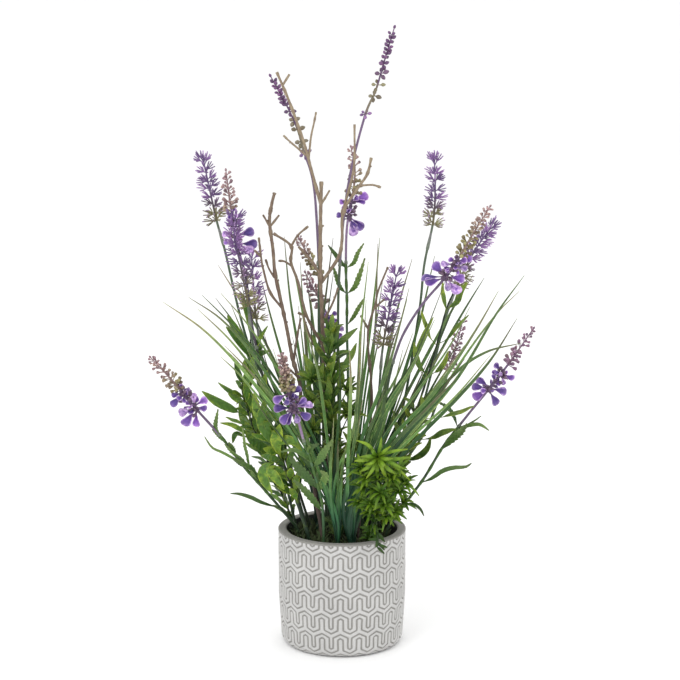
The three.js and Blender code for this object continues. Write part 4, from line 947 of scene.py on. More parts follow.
def plastics():
    """The settings of each moulded plastic. Its colours run from the foot of a part to its tip."""
    paint = palette()
    violet, lilac = paint.petal_violet, paint.petal_lilac
    green, rim = paint.leaf, paint.leaf_rim
    blade, brown = paint.grass, paint.grass_tip
    smooth = (0.34, 0.52)
    return {
        "moss_fibre": dict(
            stops=[(0.0, (0.012, 0.012, 0.008)), (0.3, (0.035, 0.03, 0.016)), (0.6, paint.moss),
                   (1.0, blended(paint.moss, (0.08, 0.11, 0.03), 0.6))],
            value=(0.4, 1.8), hue=0.03, mottle=3.0, roughness=(0.7, 0.95)),
        # Green low down, grey green on sheaths and purple under the flowers
        "stem_plastic": dict(
            stops=[(0.0, darker(paint.green, 0.5)), (0.35, paint.green), (0.6, paint.grey_green),
                   (1.0, paint.purple)],
            value=(0.4, 1.7), mottle=2.0),
        # Olive florets at the foot of a spike, violet ones above; the edge mark is a needle's tip
        "needle_plastic": dict(
            stops=[(0.0, paint.needle_olive), (0.14, paint.needle_olive), (0.26, (0.13, 0.095, 0.115)),
                   (0.42, darker(paint.needle_violet, 0.9)), (1.0, paint.needle_violet)],
            rim=paint.needle_tip, rim_from=0.55, value=(0.65, 1.6), hue=0.02, mottle=1.2,
            roughness=(0.5, 0.7)),
        # Tan beads over olive ones; the edge mark says how mauve a part is
        "bead_plastic": dict(
            stops=[(0.0, paint.bead_olive), (0.3, paint.bead_olive),
                   (0.6, blended(paint.bead_olive, paint.bead_tan, 0.7)), (1.0, paint.bead_tan)],
            rim=(0.23, 0.125, 0.21), rim_from=0.0, value=(0.6, 1.4), hue=0.025, mottle=1.4,
            roughness=(0.4, 0.6)),
        # Grey olive buds low down and purple ones at the top
        "salvia_plastic": dict(
            stops=[(0.0, (0.24, 0.13, 0.31)), (0.1, (0.22, 0.13, 0.24)), (0.16, (0.20, 0.175, 0.125)),
                   (0.46, (0.22, 0.19, 0.11)), (0.56, (0.13, 0.07, 0.15)), (1.0, (0.15, 0.065, 0.17))],
            rim=(0.17, 0.10, 0.12), rim_from=0.0, value=(0.7, 1.35), hue=0.02, mottle=1.4),
        # Dark in the throat, then violet, with a pale rolled edge and tip that are partly the petal's own
        # pale rim and partly a painted highlight
        "petal_plastic": dict(
            stops=[(0.0, (0.15, 0.095, 0.125)), (0.12, (0.10, 0.055, 0.15)), (0.35, darker(violet, 0.75)),
                   (0.7, violet), (0.9, blended(violet, lilac, 0.25)), (1.0, blended(violet, lilac, 0.9))],
            rim=lilac, rim_from=0.7, ribs=(0.0, 1.7, 0.05), value=(0.65, 1.5), hue=0.018, mottle=3.0,
            roughness=(0.32, 0.5)),
        "broad_leaf_plastic": dict(
            stops=[(0.0, (0.018, 0.045, 0.018)), (0.12, blended(green, rim, 0.4)), (0.3, green),
                   (0.8, green), (1.0, blended(green, rim, 0.7))],
            rim=rim, rim_from=0.8, ribs=(8.0, 1.0, 0.1), value=(0.45, 1.75), hue=-0.02, mottle=4.0,
            roughness=smooth, patch=rim),
        "dark_leaf_plastic": dict(
            stops=[(0.0, (0.014, 0.03, 0.010)), (0.1, darker(paint.dark_leaf, 0.8)), (0.5, paint.dark_leaf),
                   (1.0, blended(paint.dark_leaf, (0.17, 0.24, 0.02), 0.6))],
            rim=(0.16, 0.22, 0.02), rim_from=0.8, ribs=(9.0, 1.2, 0.1), value=(0.5, 1.8), hue=-0.02,
            mottle=4.0, roughness=smooth, patch=(0.13, 0.19, 0.015)),
        "serrated_leaf_plastic": dict(
            stops=[(0.0, darker(paint.serrated, 0.7)), (0.4, paint.serrated),
                   (1.0, blended(paint.serrated, (0.15, 0.18, 0.07), 0.5))],
            rim=(0.13, 0.20, 0.06), rim_from=0.8, ribs=(10.0, 1.3, 0.1), value=(0.6, 1.6), hue=-0.015,
            mottle=3.0, roughness=smooth),
        "fern_plastic": dict(
            stops=[(0.0, darker(paint.fern, 0.45)), (0.4, paint.fern),
                   (1.0, blended(paint.fern, (0.20, 0.30, 0.02), 0.5))],
            ribs=(0.0, 1.0, 0.1), value=(0.3, 1.5), hue=-0.022, mottle=3.0, roughness=(0.34, 0.5)),
        "whorled_leaf_plastic": dict(
            stops=[(0.0, darker(paint.whorled, 0.5)), (0.4, paint.whorled),
                   (1.0, blended(paint.whorled, (0.17, 0.24, 0.03), 0.6))],
            rim=(0.11, 0.185, 0.03), rim_from=0.8, ribs=(6.0, 1.2, 0.1), value=(0.4, 1.5), hue=-0.02,
            mottle=3.0, roughness=(0.34, 0.5), patch=(0.13, 0.18, 0.015)),
        # Bluish green at the foot, then green, with brown tips; striped blades have wide pale edges
        "grass_plastic": dict(
            stops=[(0.0, (0.008, 0.036, 0.018)), (0.2, (0.020, 0.085, 0.036)), (0.5, blade),
                   (0.74, blended(blade, brown, 0.3)), (0.86, blended(blade, brown, 0.8)), (1.0, brown)],
            rim=(0.25, 0.36, 0.11), rim_from=0.62, ribs=(0.0, 1.6, 0.06), value=(0.42, 1.6), hue=-0.015,
            mottle=9.0, roughness=smooth, painted_rib_shade=(0.9, 1.06)),
    }


def plastic(name):
    return bpy.data.materials.get(name) or moulded(Recipe(name), **plastics()[name])


def moulded(recipe, stops, value, mottle, rim=None, rim_from=0.7, ribs=None, hue=0.012,
            roughness=(0.42, 0.62), painted_rib_shade=(0.88, 1.08), patch=None):
    """Moulded plastic whose colour runs along each part, with mottling, patches, ribs and a fine grain"""
    shown = recipe.ramp(recipe.mark("tone"), stops)
    edge = recipe.mark("edge")
    if rim is not None:
        worn = recipe.math("ADD", edge, recipe.swing(recipe.noise(3.0), -0.18, 0.18))
        shown = recipe.mix(recipe.span(worn, rim_from, 1.0, 0.0, 1.0), shown, rim)
    if patch is not None:
        shown = recipe.mix(recipe.span(recipe.noise(9.0), 0.52, 0.66, 0.0, 0.75), shown, patch)
    shade = recipe.mark("shade")
    blotch = recipe.noise(mottle, 4.0)
    light = recipe.math("MULTIPLY", recipe.span(shade, 0.0, 1.0, *value), recipe.swing(blotch, 0.8, 1.2))
    shown = recipe.vary(shown, light, recipe.span(shade, 0.0, 1.0, 0.5 - hue, 0.5 + hue))
    normal = recipe.bump(recipe.noise(0.5, 2.0), 0.04)
    if ribs is not None:
        along, across, depth = ribs
        lengthwise = recipe.math("MULTIPLY", recipe.mark("tone"), along)
        phase = recipe.math("ADD", lengthwise, recipe.math("MULTIPLY", edge, across))
        ridge = recipe.math("SINE", recipe.math("MULTIPLY", phase, 2 * math.pi))
        normal = recipe.bump(ridge, depth, normal)
        # Ribs darken in their troughs and lighten on their crests, following the bump: painted shade and
        # painted light of the ribs
        shown = recipe.vary(shown, recipe.span(ridge, -1.0, 1.0, *painted_rib_shade))
    return recipe.finish(shown, recipe.swing(blotch, *roughness), normal, 0.35)


def facing_out(place, chance, loose=0.35):
    """Which way a leaf's upper face looks: up, and to the front or the back, whichever is nearer"""
    middle_y = 12
    ahead = FRONT if place[1] < middle_y else -FRONT
    outward = np.array((place[0], place[1], 0.0))
    outward /= max(np.linalg.norm(outward), 1.0)
    return unit(0.5 * UP + 0.7 * ahead + 0.35 * outward + jitter(chance, loose))


def flat_way(round_degrees, front_degrees):
    """A direction from its angle as seen from the front, and its angle towards the front"""
    turn, front = math.radians(round_degrees), math.radians(front_degrees)
    flat = RIGHT * math.cos(turn) + UP * math.sin(turn)
    return unit(flat * math.cos(front) + FRONT * math.sin(front))


def any_way(chance, lowest, highest):
    """A direction to any side, rising by a share between two numbers"""
    return unit(np.array((chance.uniform(-1, 1), chance.uniform(-1, 1), chance.uniform(lowest, highest))))


def bent(base, tip, bow=0.12, droop=0.0):
    """Points of a midrib that bows upwards and droops towards its tip"""
    base, tip = np.asarray(base, float), np.asarray(tip, float)
    rise = UP * np.linalg.norm(tip - base)
    thirds = (0, 0.33, 0.67, 1)
    return [base + (tip - base) * t + rise * (2 * bow * t * (1 - t) - droop * t**3) for t in thirds]


def leaf(skin, points, width, facing, shade, stalk=0.08, fold=0.3, teeth=0, blunt=0.75, curl=0.0,
         wave=0.0, stations=12, tones=(0.0, 1.0)):
    """One leaf whose midrib runs through those points, widest near its middle and folded along it"""
    if teeth:
        stations = 2 * teeth + 2
    t = np.linspace(0, 1, stations)
    route = Route(points)
    spine = np.array([route.at(share) for share in t])
    along = headings(spine)
    chord = unit(spine[-1] - spine[0])
    facing = facing - chord * chord.dot(facing)
    if np.linalg.norm(facing) < 0.3:
        facing = np.cross(chord, RIGHT)
    face = square_to(along, facing)
    side = np.cross(along, face)
    body = np.clip((t - stalk) / (1 - stalk), 0, 1)
    half = 0.35 + width / 2 * np.sin(np.pi * body**blunt) ** 0.85
    columns = np.array((-1.0, -0.55, 0.0, 0.55, 1.0))
    out = half[:, None] * columns
    ahead = np.zeros(out.shape)
    if teeth:
        notch_depth, tooth_reach = 0.3, 0.8
        edge, notch = np.abs(columns) == 1, (np.arange(stations) % 2)[:, None]
        out = out * (1 - notch_depth * notch * edge)
        ahead = (1 - notch) * edge * (tooth_reach * np.linalg.norm(spine[-1] - spine[0]) / stations)
    lift = np.abs(out) * math.tan(fold) - curl * out**2 / max(width, 1)
    lift = lift + wave * np.sin(t * 14.0)[:, None] * np.abs(columns) * half[:, None]
    grid = spine[:, None]
    for way, reach in ((side, out), (face, lift), (along, ahead)):
        grid = grid + way[:, None] * reach[..., None]
    tone = tones[0] + (tones[1] - tones[0]) * t
    skin.sheet(grid, looks().leaf_looks.thickness / MM, tone, shade, np.abs(columns))


SMOOTH_LEAF = dict(blunt=0.85, curl=0.4, wave=0.16, stations=13)
FERN_LEAF = dict(blunt=0.8, curl=0.4, wave=0.14, stations=13)
FROND = dict(fold=0.35, stations=9, blunt=0.8, stalk=0.0)


def placed_leaves(skin, route, rows, chance, shades, shape):
    """The leaves of a spray or fern whose midribs are given"""
    for height, points, width, stalk in rows:
        facing = facing_out(np.array(points[-1]), chance)
        shade = chance.uniform(*shades)
        leaf(skin, [route.spot(height), *points], width, facing, shade, stalk=stalk, **shape)


def stem_tube(skin, route, low, high, radius, tip_radius, tones, chance, shade=0.5):
    """A stem between two parameters of its route, a little uneven"""
    spine = route.stretch(low, high, 6.0)
    share = shares(spine)
    uneven = np.array([chance.uniform(0.95, 1.05) for _ in spine])
    radii = (radius + (tip_radius - radius) * share) * uneven
    skin.tube(spine, radii, 10, np.interp(share, *tones), shade)


def needle_stem(name):
    """A green stem with a pale sheath that widens downwards under the head"""
    stem = looks().stem_looks
    head, points = NEEDLE_PICKS[name]
    route, chance, skin = Route(points), dice(name), Skin()
    top = route.at_height(head)
    tones, sheath_length = ((0, 0.7, 1), (0.0, 0.4, 0.5)), 24
    stem_tube(skin, route, 0.0, top, stem.radius / MM, stem.tip_radius / MM, tones, chance)
    spine = route.stretch(route.at_height(head - sheath_length), top, 2.5)
    share = shares(spine)
    radii = stem.sheath_radius / MM * (1 - 0.42 * smoothstep(share * 1.1))
    radii[0] *= 0.86
    skin.tube(spine, radii, 12, 0.58 + 0.22 * share, 0.6)
    skin.make(f"{name}_stem_look", plastic("stem_plastic"), [f"{name}_stem"], "stem_green")


def floret(skin, base, way, along, stalk, count, size, tone, chance):
    """A curved stalk whose end bursts into a flat hand of needles"""
    shade = chance.uniform(0.1, 0.95)
    knot = base + way * stalk
    spine = [base, base + way * (0.5 * stalk), knot, knot + way * 1.2]
    skin.tube(spine, (0.55, 0.5, 0.85, 0.5), 5, tone, shade * 0.5)
    square = unit(along - way * way.dot(along) + jitter(chance, 0.25))
    ends = np.array((0.0, 0.35, 0.75, 0.95, 1.0))[:, None]
    for k in range(count):
        share = 2 * k / (count - 1) - 1
        out = unit(way + square * (1.1 * share) + jitter(chance, 0.14))
        reach = size * chance.uniform(0.85, 1.15) * (1.1 - 0.2 * abs(share))
        spine = knot + out * reach * ends - square * (0.3 * reach * share) * ends**2
        skin.tube(spine, (0.55, 0.5, 0.62, 0.58, 0.3), 5, tone, shade, (0.0, 0.2, 0.55, 0.9, 1.0))


def needle_head(name):
    """Whorls of florets round a thin spine, olive ones at its foot"""
    reach = looks().flower_looks.needle_length / MM
    head, points = NEEDLE_PICKS[name]
    route, chance, skin = Route(points), dice(name + "_florets"), Skin()
    start, last, tier_room = route.at_height(head), 0.965, 9.0
    spine = route.stretch(start, 1.0, 3.0)[:-2]
    share = shares(spine)
    skin.tube(spine, 1.2 - 0.55 * share, 7, 0.1 + 0.55 * share, 0.1)
    tiers = round(run(spine) / tier_room)
    turn = chance.uniform(0, 6)
    for tier in range(tiers + 1):
        t = tier / tiers
        count = 4 + tier % 2
        for k in range(count):
            place = start + (last - start) * min(max(t + chance.uniform(-0.3, 0.3) / tiers, 0), 1)
            along = route.along(place)
            if tier < tiers:
                lean = 1.3 - 0.35 * t + chance.uniform(-0.15, 0.15)
            else:
                lean = chance.uniform(0.3, 0.95)
            way = leaning(along, turn + (k + chance.uniform(-0.2, 0.2)) * 2 * math.pi / count, lean)
            stalk = chance.uniform(2.8, 4.4) * (1.05 - 0.3 * t) + 2.5 * (tier == tiers)
            needles = chance.choice((5, 6, 6))
            floret(skin, route.at(place), way, along, stalk, needles, reach * (1.08 - 0.18 * t),
                   min(t * 1.05, 1.0), chance)
        turn += GOLDEN_ANGLE + 0.5
    skin.make(f"{name}_florets_look", plastic("needle_plastic"), [f"{name}_florets"], "needle_purple")


def bud_stem(name, head, points, purple, shade=STEM_SHADE):
    """A green stem that turns purple above a joint"""
    stem = looks().stem_looks
    route, chance, skin = Route(points), dice(name), Skin()
    top = route.at_height(head)
    joint = min(route.at_height(purple), top)
    foot, tip = stem.radius / MM, stem.tip_radius / MM
    middle = (stem.radius + stem.tip_radius) / 2 / MM
    stem_tube(skin, route, 0.0, joint, foot, middle, ((0, 0.6, 1), (0.0, 0.35, 0.45)), chance, shade)
    if joint < top:
        stem_tube(skin, route, joint - 0.002, top, middle, tip, ((0, 0.1, 1), (0.8, 0.95, 1)), chance, shade)
        here, ahead = route.at(joint), route.along(joint)
        collar = [here - ahead * 2.2, here - ahead * 1.6, here + ahead * 0.8, here + ahead * 2.6]
        skin.tube(collar, (middle * 0.9, middle * 1.45, middle * 1.3, middle * 0.8), 10, 0.6, 0.5)
    skin.make(f"{name}_stem_look", plastic("stem_plastic"), [f"{name}_stem"], "stem_purple")


# A bead's profile: distances along it, in stalks up to 1 and in three quarters of its width from there,
# and its radii there, in half widths, for a drop and for a goblet
BEAD_STEPS = np.array((0.0, 0.55, 1.0, 1.15, 1.5, 1.95, 2.35, 2.6, 2.7))
DROP = np.array((0.32, 0.3, 0.42, 0.75, 1.0, 0.98, 0.66, 0.3, 0.08))
GOBLET = np.array((0.32, 0.3, 0.36, 0.5, 0.72, 0.92, 1.04, 0.8, 0.15))


def bead(skin, base, way, stalk, size, tone, shade, edge=0.0, radii=DROP):
    """A bead on a short stalk"""
    reach = np.where(BEAD_STEPS <= 1, BEAD_STEPS * stalk, stalk + (BEAD_STEPS - 1) * size * 0.75)
    radii = np.where(BEAD_STEPS <= 0.6, np.minimum(radii, 0.4) * size / 3.3 + 0.1, radii * size / 2)
    skin.tube(base + way * reach[:, None], radii, 7, tone, shade, edge)


def bead_head(name):
    """Beads on short stalks round a spine, smaller and fewer towards its tip"""
    pick = BUD_PICKS[name]
    width, count, room = pick["beads"]
    route, chance, skin = Route(pick["route"]), dice(name + "_buds"), Skin()
    start = route.at_height(pick["head"])
    spine = route.stretch(start, 1.0, 3.0)
    share = shares(spine)
    skin.tube(spine, 1.15 - 0.65 * share, 8, 0.55 + 0.3 * share, 0.3, pick["mauve"])
    tiers = round(run(spine) / room)
    turn = chance.uniform(0, 6)
    for tier in range(tiers):
        t = tier / tiers
        for k in range(count if t < 0.6 else count - 1):
            place = start + (1 - start) * min(max(t + chance.uniform(-0.35, 0.35) / tiers, 0), 1)
            lean = 1.2 - 0.35 * t + chance.uniform(-0.2, 0.2)
            angle = turn + k * 2 * math.pi / count + chance.uniform(-0.3, 0.3)
            way = leaning(route.along(place), angle, lean)
            stalk = chance.uniform(3.0, 5.8) * (1 - 0.4 * t)
            mauve = pick["mauve"] + chance.uniform(-0.2, 0.2)
            size = width * (1 - 0.42 * t) * chance.uniform(0.8, 1.12)
            tone = t + (1 - t) * pick["tan"]
            bead(skin, route.at(place), way, stalk, size, tone, chance.random(), mauve, GOBLET)
        turn += GOLDEN_ANGLE
    tip, along = route.at(1.0), route.along(1.0)
    bead(skin, tip - along, along, 0.5, width * 0.6, 1.0, 0.3, pick["mauve"])
    skin.make(f"{name}_buds_look", plastic("bead_plastic"), [f"{name}_buds"], "bud_tan")


def petal(skin, base, way, reach, facing, shade, chance):
    """A spoon-shaped petal on a narrow claw, cupped and bent back at its tip"""
    columns = np.linspace(-1, 1, 7)
    away = np.abs(columns)
    t = np.linspace(0, 1, 12)
    side = unit(np.cross(way, facing))
    face = np.cross(side, way)
    bend, sway = chance.uniform(-0.02, 0.2), chance.uniform(-0.12, 0.12)
    spine = base + way * (reach * t)[:, None] - face * (bend * reach * t**2)[:, None]
    spine = spine + side * (sway * reach * t**2)[:, None]
    widest = 8.6
    width = min(reach * chance.uniform(0.42, 0.54), widest)
    body = np.clip((t - 0.2) / 0.8, 0, 1)
    half = 0.7 + width / 2 * np.sin(np.pi * body**2) ** 0.6
    half[-1] = width * 0.2
    spine = spine + way * (-0.08 * reach * t**6)[:, None]
    out = half[:, None] * columns
    cup = (0.95 * away**2 - 0.4 * away**6) * half[:, None] * (1 - 0.3 * t)[:, None]
    ruffle = 0.35 * np.sin(9 * t + chance.uniform(0, 6))[:, None] * away**3
    grid = spine[:, None] + side * out[..., None] + face * (cup + ruffle)[..., None]
    pale = chance.choice((0.0, 0.0, 0.15, 0.4, 0.8))
    skin.sheet(grid, 0.55, t, shade, pale + (1 - pale) * away**1.5)


def petal_whorl(name):
    """Open petals and dark round buds about a stem"""
    pick = BUD_PICKS[name]
    route, chance, skin = Route(pick["route"]), dice(name + "_petals"), Skin()
    heights = [row[0] for row in pick["petals"]]
    shades = pick.get("petal_shades", PETAL_SHADES)
    low, high = route.at_height(min(heights) - 2), route.at_height(max(heights) + 2)
    spine = route.stretch(low, high, 2.5)
    skin.tube(spine, [1.7 + 0.5 * math.sin(3.0 * i) for i in range(len(spine))], 9, 0.08, 0.3)
    for height, round_degrees, front_degrees, reach in pick["petals"]:
        way = flat_way(round_degrees, front_degrees)
        base = route.spot(height)
        cup = [base + way * far for far in (0, 1.8, 3.6, 4.6)]
        skin.tube(cup, (0.7, 1.2, 1.15, 0.7), 7, 0.05, 0.35)
        toward = (FRONT if front_degrees > -40 else -FRONT) + 0.45 * UP + jitter(chance, 0.5)
        toward = unit(toward - way * toward.dot(way))
        petal(skin, base + way * 2.4, way, reach - 2.4, toward, chance.uniform(*shades), chance)
    small_petals, round_buds = 7, 18
    for k in range(small_petals):
        way = leaning(route.along(low), k * GOLDEN_ANGLE, chance.uniform(0.7, 1.5))
        base = route.at(low + (high - low) * chance.uniform(0.2, 0.9)) + way * 2
        facing = unit(FRONT + UP + jitter(chance, 1.0))
        petal(skin, base, way, chance.uniform(6, 9), facing, chance.uniform(*shades), chance)
    for k in range(round_buds):
        place = low + (high - low) * chance.random()
        way = leaning(route.along(place), k * GOLDEN_ANGLE, chance.uniform(0.8, 1.8))
        stalk, size = chance.uniform(2.5, 5.5), chance.uniform(2.6, 3.8)
        bead(skin, route.at(place), way, stalk, size, 0.03, chance.uniform(0.2, 0.7))
    skin.make(f"{name}_petals_look", plastic("petal_plastic"), [f"{name}_petals"], "petal_violet")


def leaf_sleeve(name):
    """Narrow leaves that clasp a stem, serrated where they are wide enough"""
    pick = BUD_PICKS[name]
    route, chance, skin = Route(pick["route"]), dice(name + "_leaves"), Skin()
    low, high = (route.at_height(height) for height in pick["sleeve"])
    spine = route.stretch(low, high, 4.0)
    skin.tube(spine, [1.5 + 0.25 * math.sin(1.7 * i) for i in range(len(spine))], 9, 0.25, 0.35)
    for height, points, width in pick["leaves"]:
        facing, teeth = facing_out(np.array(points[-1]), chance), 9 if width > 4.4 else 0
        leaf(skin, [route.spot(height), *points], width, facing, chance.random(), teeth=teeth, fold=0.25,
             wave=0.1)
    for k in range(pick.get("loose_leaves", LOOSE_LEAVES)):
        place = low + (high - low) * (k + 1.3) / (LOOSE_LEAVES + 1)
        base = route.at(place)
        way = leaning(route.along(place), k * GOLDEN_ANGLE * 1.3 + 1.0, chance.uniform(0.15, 0.5))
        tip = base + way * chance.uniform(15, 22)
        midrib, width = bent(base, tip, 0.05, chance.uniform(0, 0.12)), chance.uniform(3.6, 5.4)
        leaf(skin, midrib, width, facing_out(tip, chance), chance.random(), teeth=7)
    skin.make(f"{name}_leaves_look", plastic("serrated_leaf_plastic"), [f"{name}_leaves"], "leaf_green")


def salvia_head(name):
    """Drop-shaped buds in whorls, far apart low down and close together at the top"""
    head, points, whorls = SALVIA_PICKS[name]
    route, chance, skin = Route(points), dice(name + "_buds"), Skin()
    start = route.at_height(head)
    spine = route.stretch(start, 1.0, 3.0)
    share = shares(spine)
    skin.tube(spine, 1.25 - 0.7 * share, 8, np.clip(0.1 + share, 0, 1), 0.3)
    depths = (10, -45, 40, -20, 55)
    for height, turns, width, stalk in whorls:
        place = route.at_height(height)
        t = (place - start) / (1 - start)
        for degrees, depth in zip(turns, depths):
            way = flat_way(degrees + chance.uniform(-8, 8), depth)
            reach, size = stalk * chance.uniform(0.8, 1.3), width * chance.uniform(0.85, 1.1)
            bead(skin, route.at(place), way, reach, size, t, chance.random())
    place, turn = route.at_height(whorls[-1][0] + 5), 0.0
    step = 3.4 * (1 - start) / run(spine)
    while place < 0.985:
        t = (place - start) / (1 - start)
        for k in range(3):
            angle = turn + k * 2.09 + chance.uniform(-0.3, 0.3)
            way = leaning(route.along(place), angle, chance.uniform(0.6, 1.1))
            reach, size = chance.uniform(1.2, 2.6), chance.uniform(3.2, 4.4) * (1.05 - 0.25 * t)
            bead(skin, route.at(place), way, reach, size, t, chance.random())
        turn += 1.1
        place += step
    tip, along = route.at(1.0), route.along(1.0)
    bead(skin, tip - along, along, 0.6, 2.8, 1.0, 0.4)
    skin.make(f"{name}_buds_look", plastic("salvia_plastic"), [f"{name}_buds"], "salvia_purple")


def twig(name):
    """A bare branching twig with knots and spurs, and ends that are cut flat"""
    chance, skin = dice(name), Skin()
    dark_height = 180
    rise, branches = TWIGS[name]
    for radius, points in branches:
        route = Route(points)
        spine = route.stretch(0.0, 1.0, 2.5)
        count, share = len(spine), shares(spine)
        radii = radius * (1.0 - 0.25 * share)
        radii = radii * np.array([chance.uniform(0.92, 1.08) for _ in spine])
        for _ in range(max(1, count // 14)):
            knot = chance.uniform(0.1, 0.9)
            radii = radii * (1 + 0.35 * np.exp(-(((share - knot) * count) / 1.3) ** 2))
        radii[-2:] *= 1.25
        skin.tube(spine, radii, 10, np.clip((spine[:, 2] - dark_height) / rise, 0, 1), 0.5)
        for _ in range(count // 9):
            place = chance.uniform(0.1, 0.95)
            way = leaning(route.along(place), chance.uniform(0, 6.3), chance.uniform(0.6, 1.2))
            base = route.at(place) + way * radius * 0.5
            steps = np.array((0.0, 0.6, 1.0))[:, None] * radius * 1.15
            tone = min(max((base[2] - dark_height) / rise, 0), 1)
            skin.tube(base + way * steps, np.array((0.55, 0.45, 0.3)) * radius, 6, tone, 0.4)
    skin.make(f"{name}_look", twig_plastic(), [name], "twig_brown", sharp_degrees=55)


def blade(skin, points, width, chance, striped=False):
    """A channelled blade of grass, twisting a little towards its fine tip"""
    spine = Route(points).stretch(0.0, 1.0, 7.0)
    t, along = shares(spine), headings(spine)
    face = square_to(along, facing_out(spine[len(spine) // 2], chance, 0.4))
    side = np.cross(along, face)
    twist = (chance.uniform(-0.7, 0.7) * t)[:, None]
    turned = face * np.cos(twist) + side * np.sin(twist)
    side, face = side * np.cos(twist) - face * np.sin(twist), turned
    taper = 1 - np.clip((t - 0.55) / 0.45, 0, 1) ** 1.9
    half = 0.14 + width / 2 * np.clip(0.62 + 1.6 * t, 0, 1) * taper
    columns = np.array((-1.0, -0.5, 0.0, 0.5, 1.0))
    out = half[:, None] * columns
    grid = spine[:, None] + side[:, None] * out[..., None] + face[:, None] * (0.4 * np.abs(out))[..., None]
    edge = 0.55 + 0.45 * np.abs(columns) if striped else 0.85 * np.abs(columns)
    edge = np.clip(3 * t - 0.5, 0, 1)[:, None] * edge
    skin.sheet(grid, 0.4, t * chance.choice((0.8, 0.86, 0.93, 1.0)), chance.random(), edge)


def grass_tuft(name):
    """A tuft of arching blades that come out of one foot"""
    (x, y), width, striped, blades = GRASS_TUFTS[name]
    far_tip = 110
    chance, skin = dice(name), Skin()
    spine = np.array([(x, y, z) for z in (70.5, 80, 90, 100, 108, 114, 117)], float)
    skin.tube(spine, (3.6, 3.7, 3.8, 3.8, 3.5, 2.6, 1.0), 14, 0.05, 0.4)
    for points, others in zip(blades, blades[1:] + blades[-1:]):
        size = width * chance.uniform(0.88, 1.1)
        blade(skin, points, size, chance, striped > 0 and chance.random() < striped)
        near, far = Route(points), Route(others)
        for _ in range(2 if points[-1][0] < far_tip else 1):
            share, size = chance.uniform(0.15, 0.85), chance.uniform(0.55, 1.0)
            stray = jitter(chance, 22) * (1, 0.8, 0.4)
            rows = [near.at(size * t) * (1 - share) + far.at(size * t) * share + stray * t**1.5
                    for t in np.linspace(0, 1, 6)]
            blade(skin, rows, width * chance.uniform(0.7, 1.1), chance, chance.random() < 0.15)
    skin.make(f"{name}_look", plastic("grass_plastic"), [name], "grass_green")


def leaf_spray(name):
    """A stem with smooth-edged leaves; the broad ones have yellow rims"""
    spray = SPRAYS[name]
    route, chance, skin = Route(spray["route"]), dice(name), Skin()
    spine = route.stretch(0.0, 1.0, 4.0)
    uneven = 1 + 0.12 * np.cos(np.arange(len(spine)) * 2.1)
    skin.tube(spine, spray["radius"] * (1 - 0.45 * shares(spine)) * uneven, 9, 0.0, 0.1)
    placed_leaves(skin, route, spray["leaves"], chance, (0.25, 1.0), SMOOTH_LEAF)
    low, high, count, reach, width = spray["fill"]
    for k in range(count):
        place = route.at_height(low + (high - low) * (k + chance.uniform(0, 0.8)) / count)
        base = route.at(place)
        way = leaning(route.along(place), k * GOLDEN_ANGLE, chance.uniform(*spray["lean"]))
        tip = base + way * reach * chance.uniform(0.75, 1.1)
        midrib = bent(base, tip, chance.uniform(-0.05, 0.25), chance.uniform(-0.1, 0.25))
        size, facing = width * chance.uniform(0.7, 1.1), facing_out(tip, chance)
        leaf(skin, midrib, size, facing, chance.random(), stalk=0.14, **SMOOTH_LEAF)
    skin.make(f"{name}_look", plastic(spray["plastic"]), [name], spray["slot"])


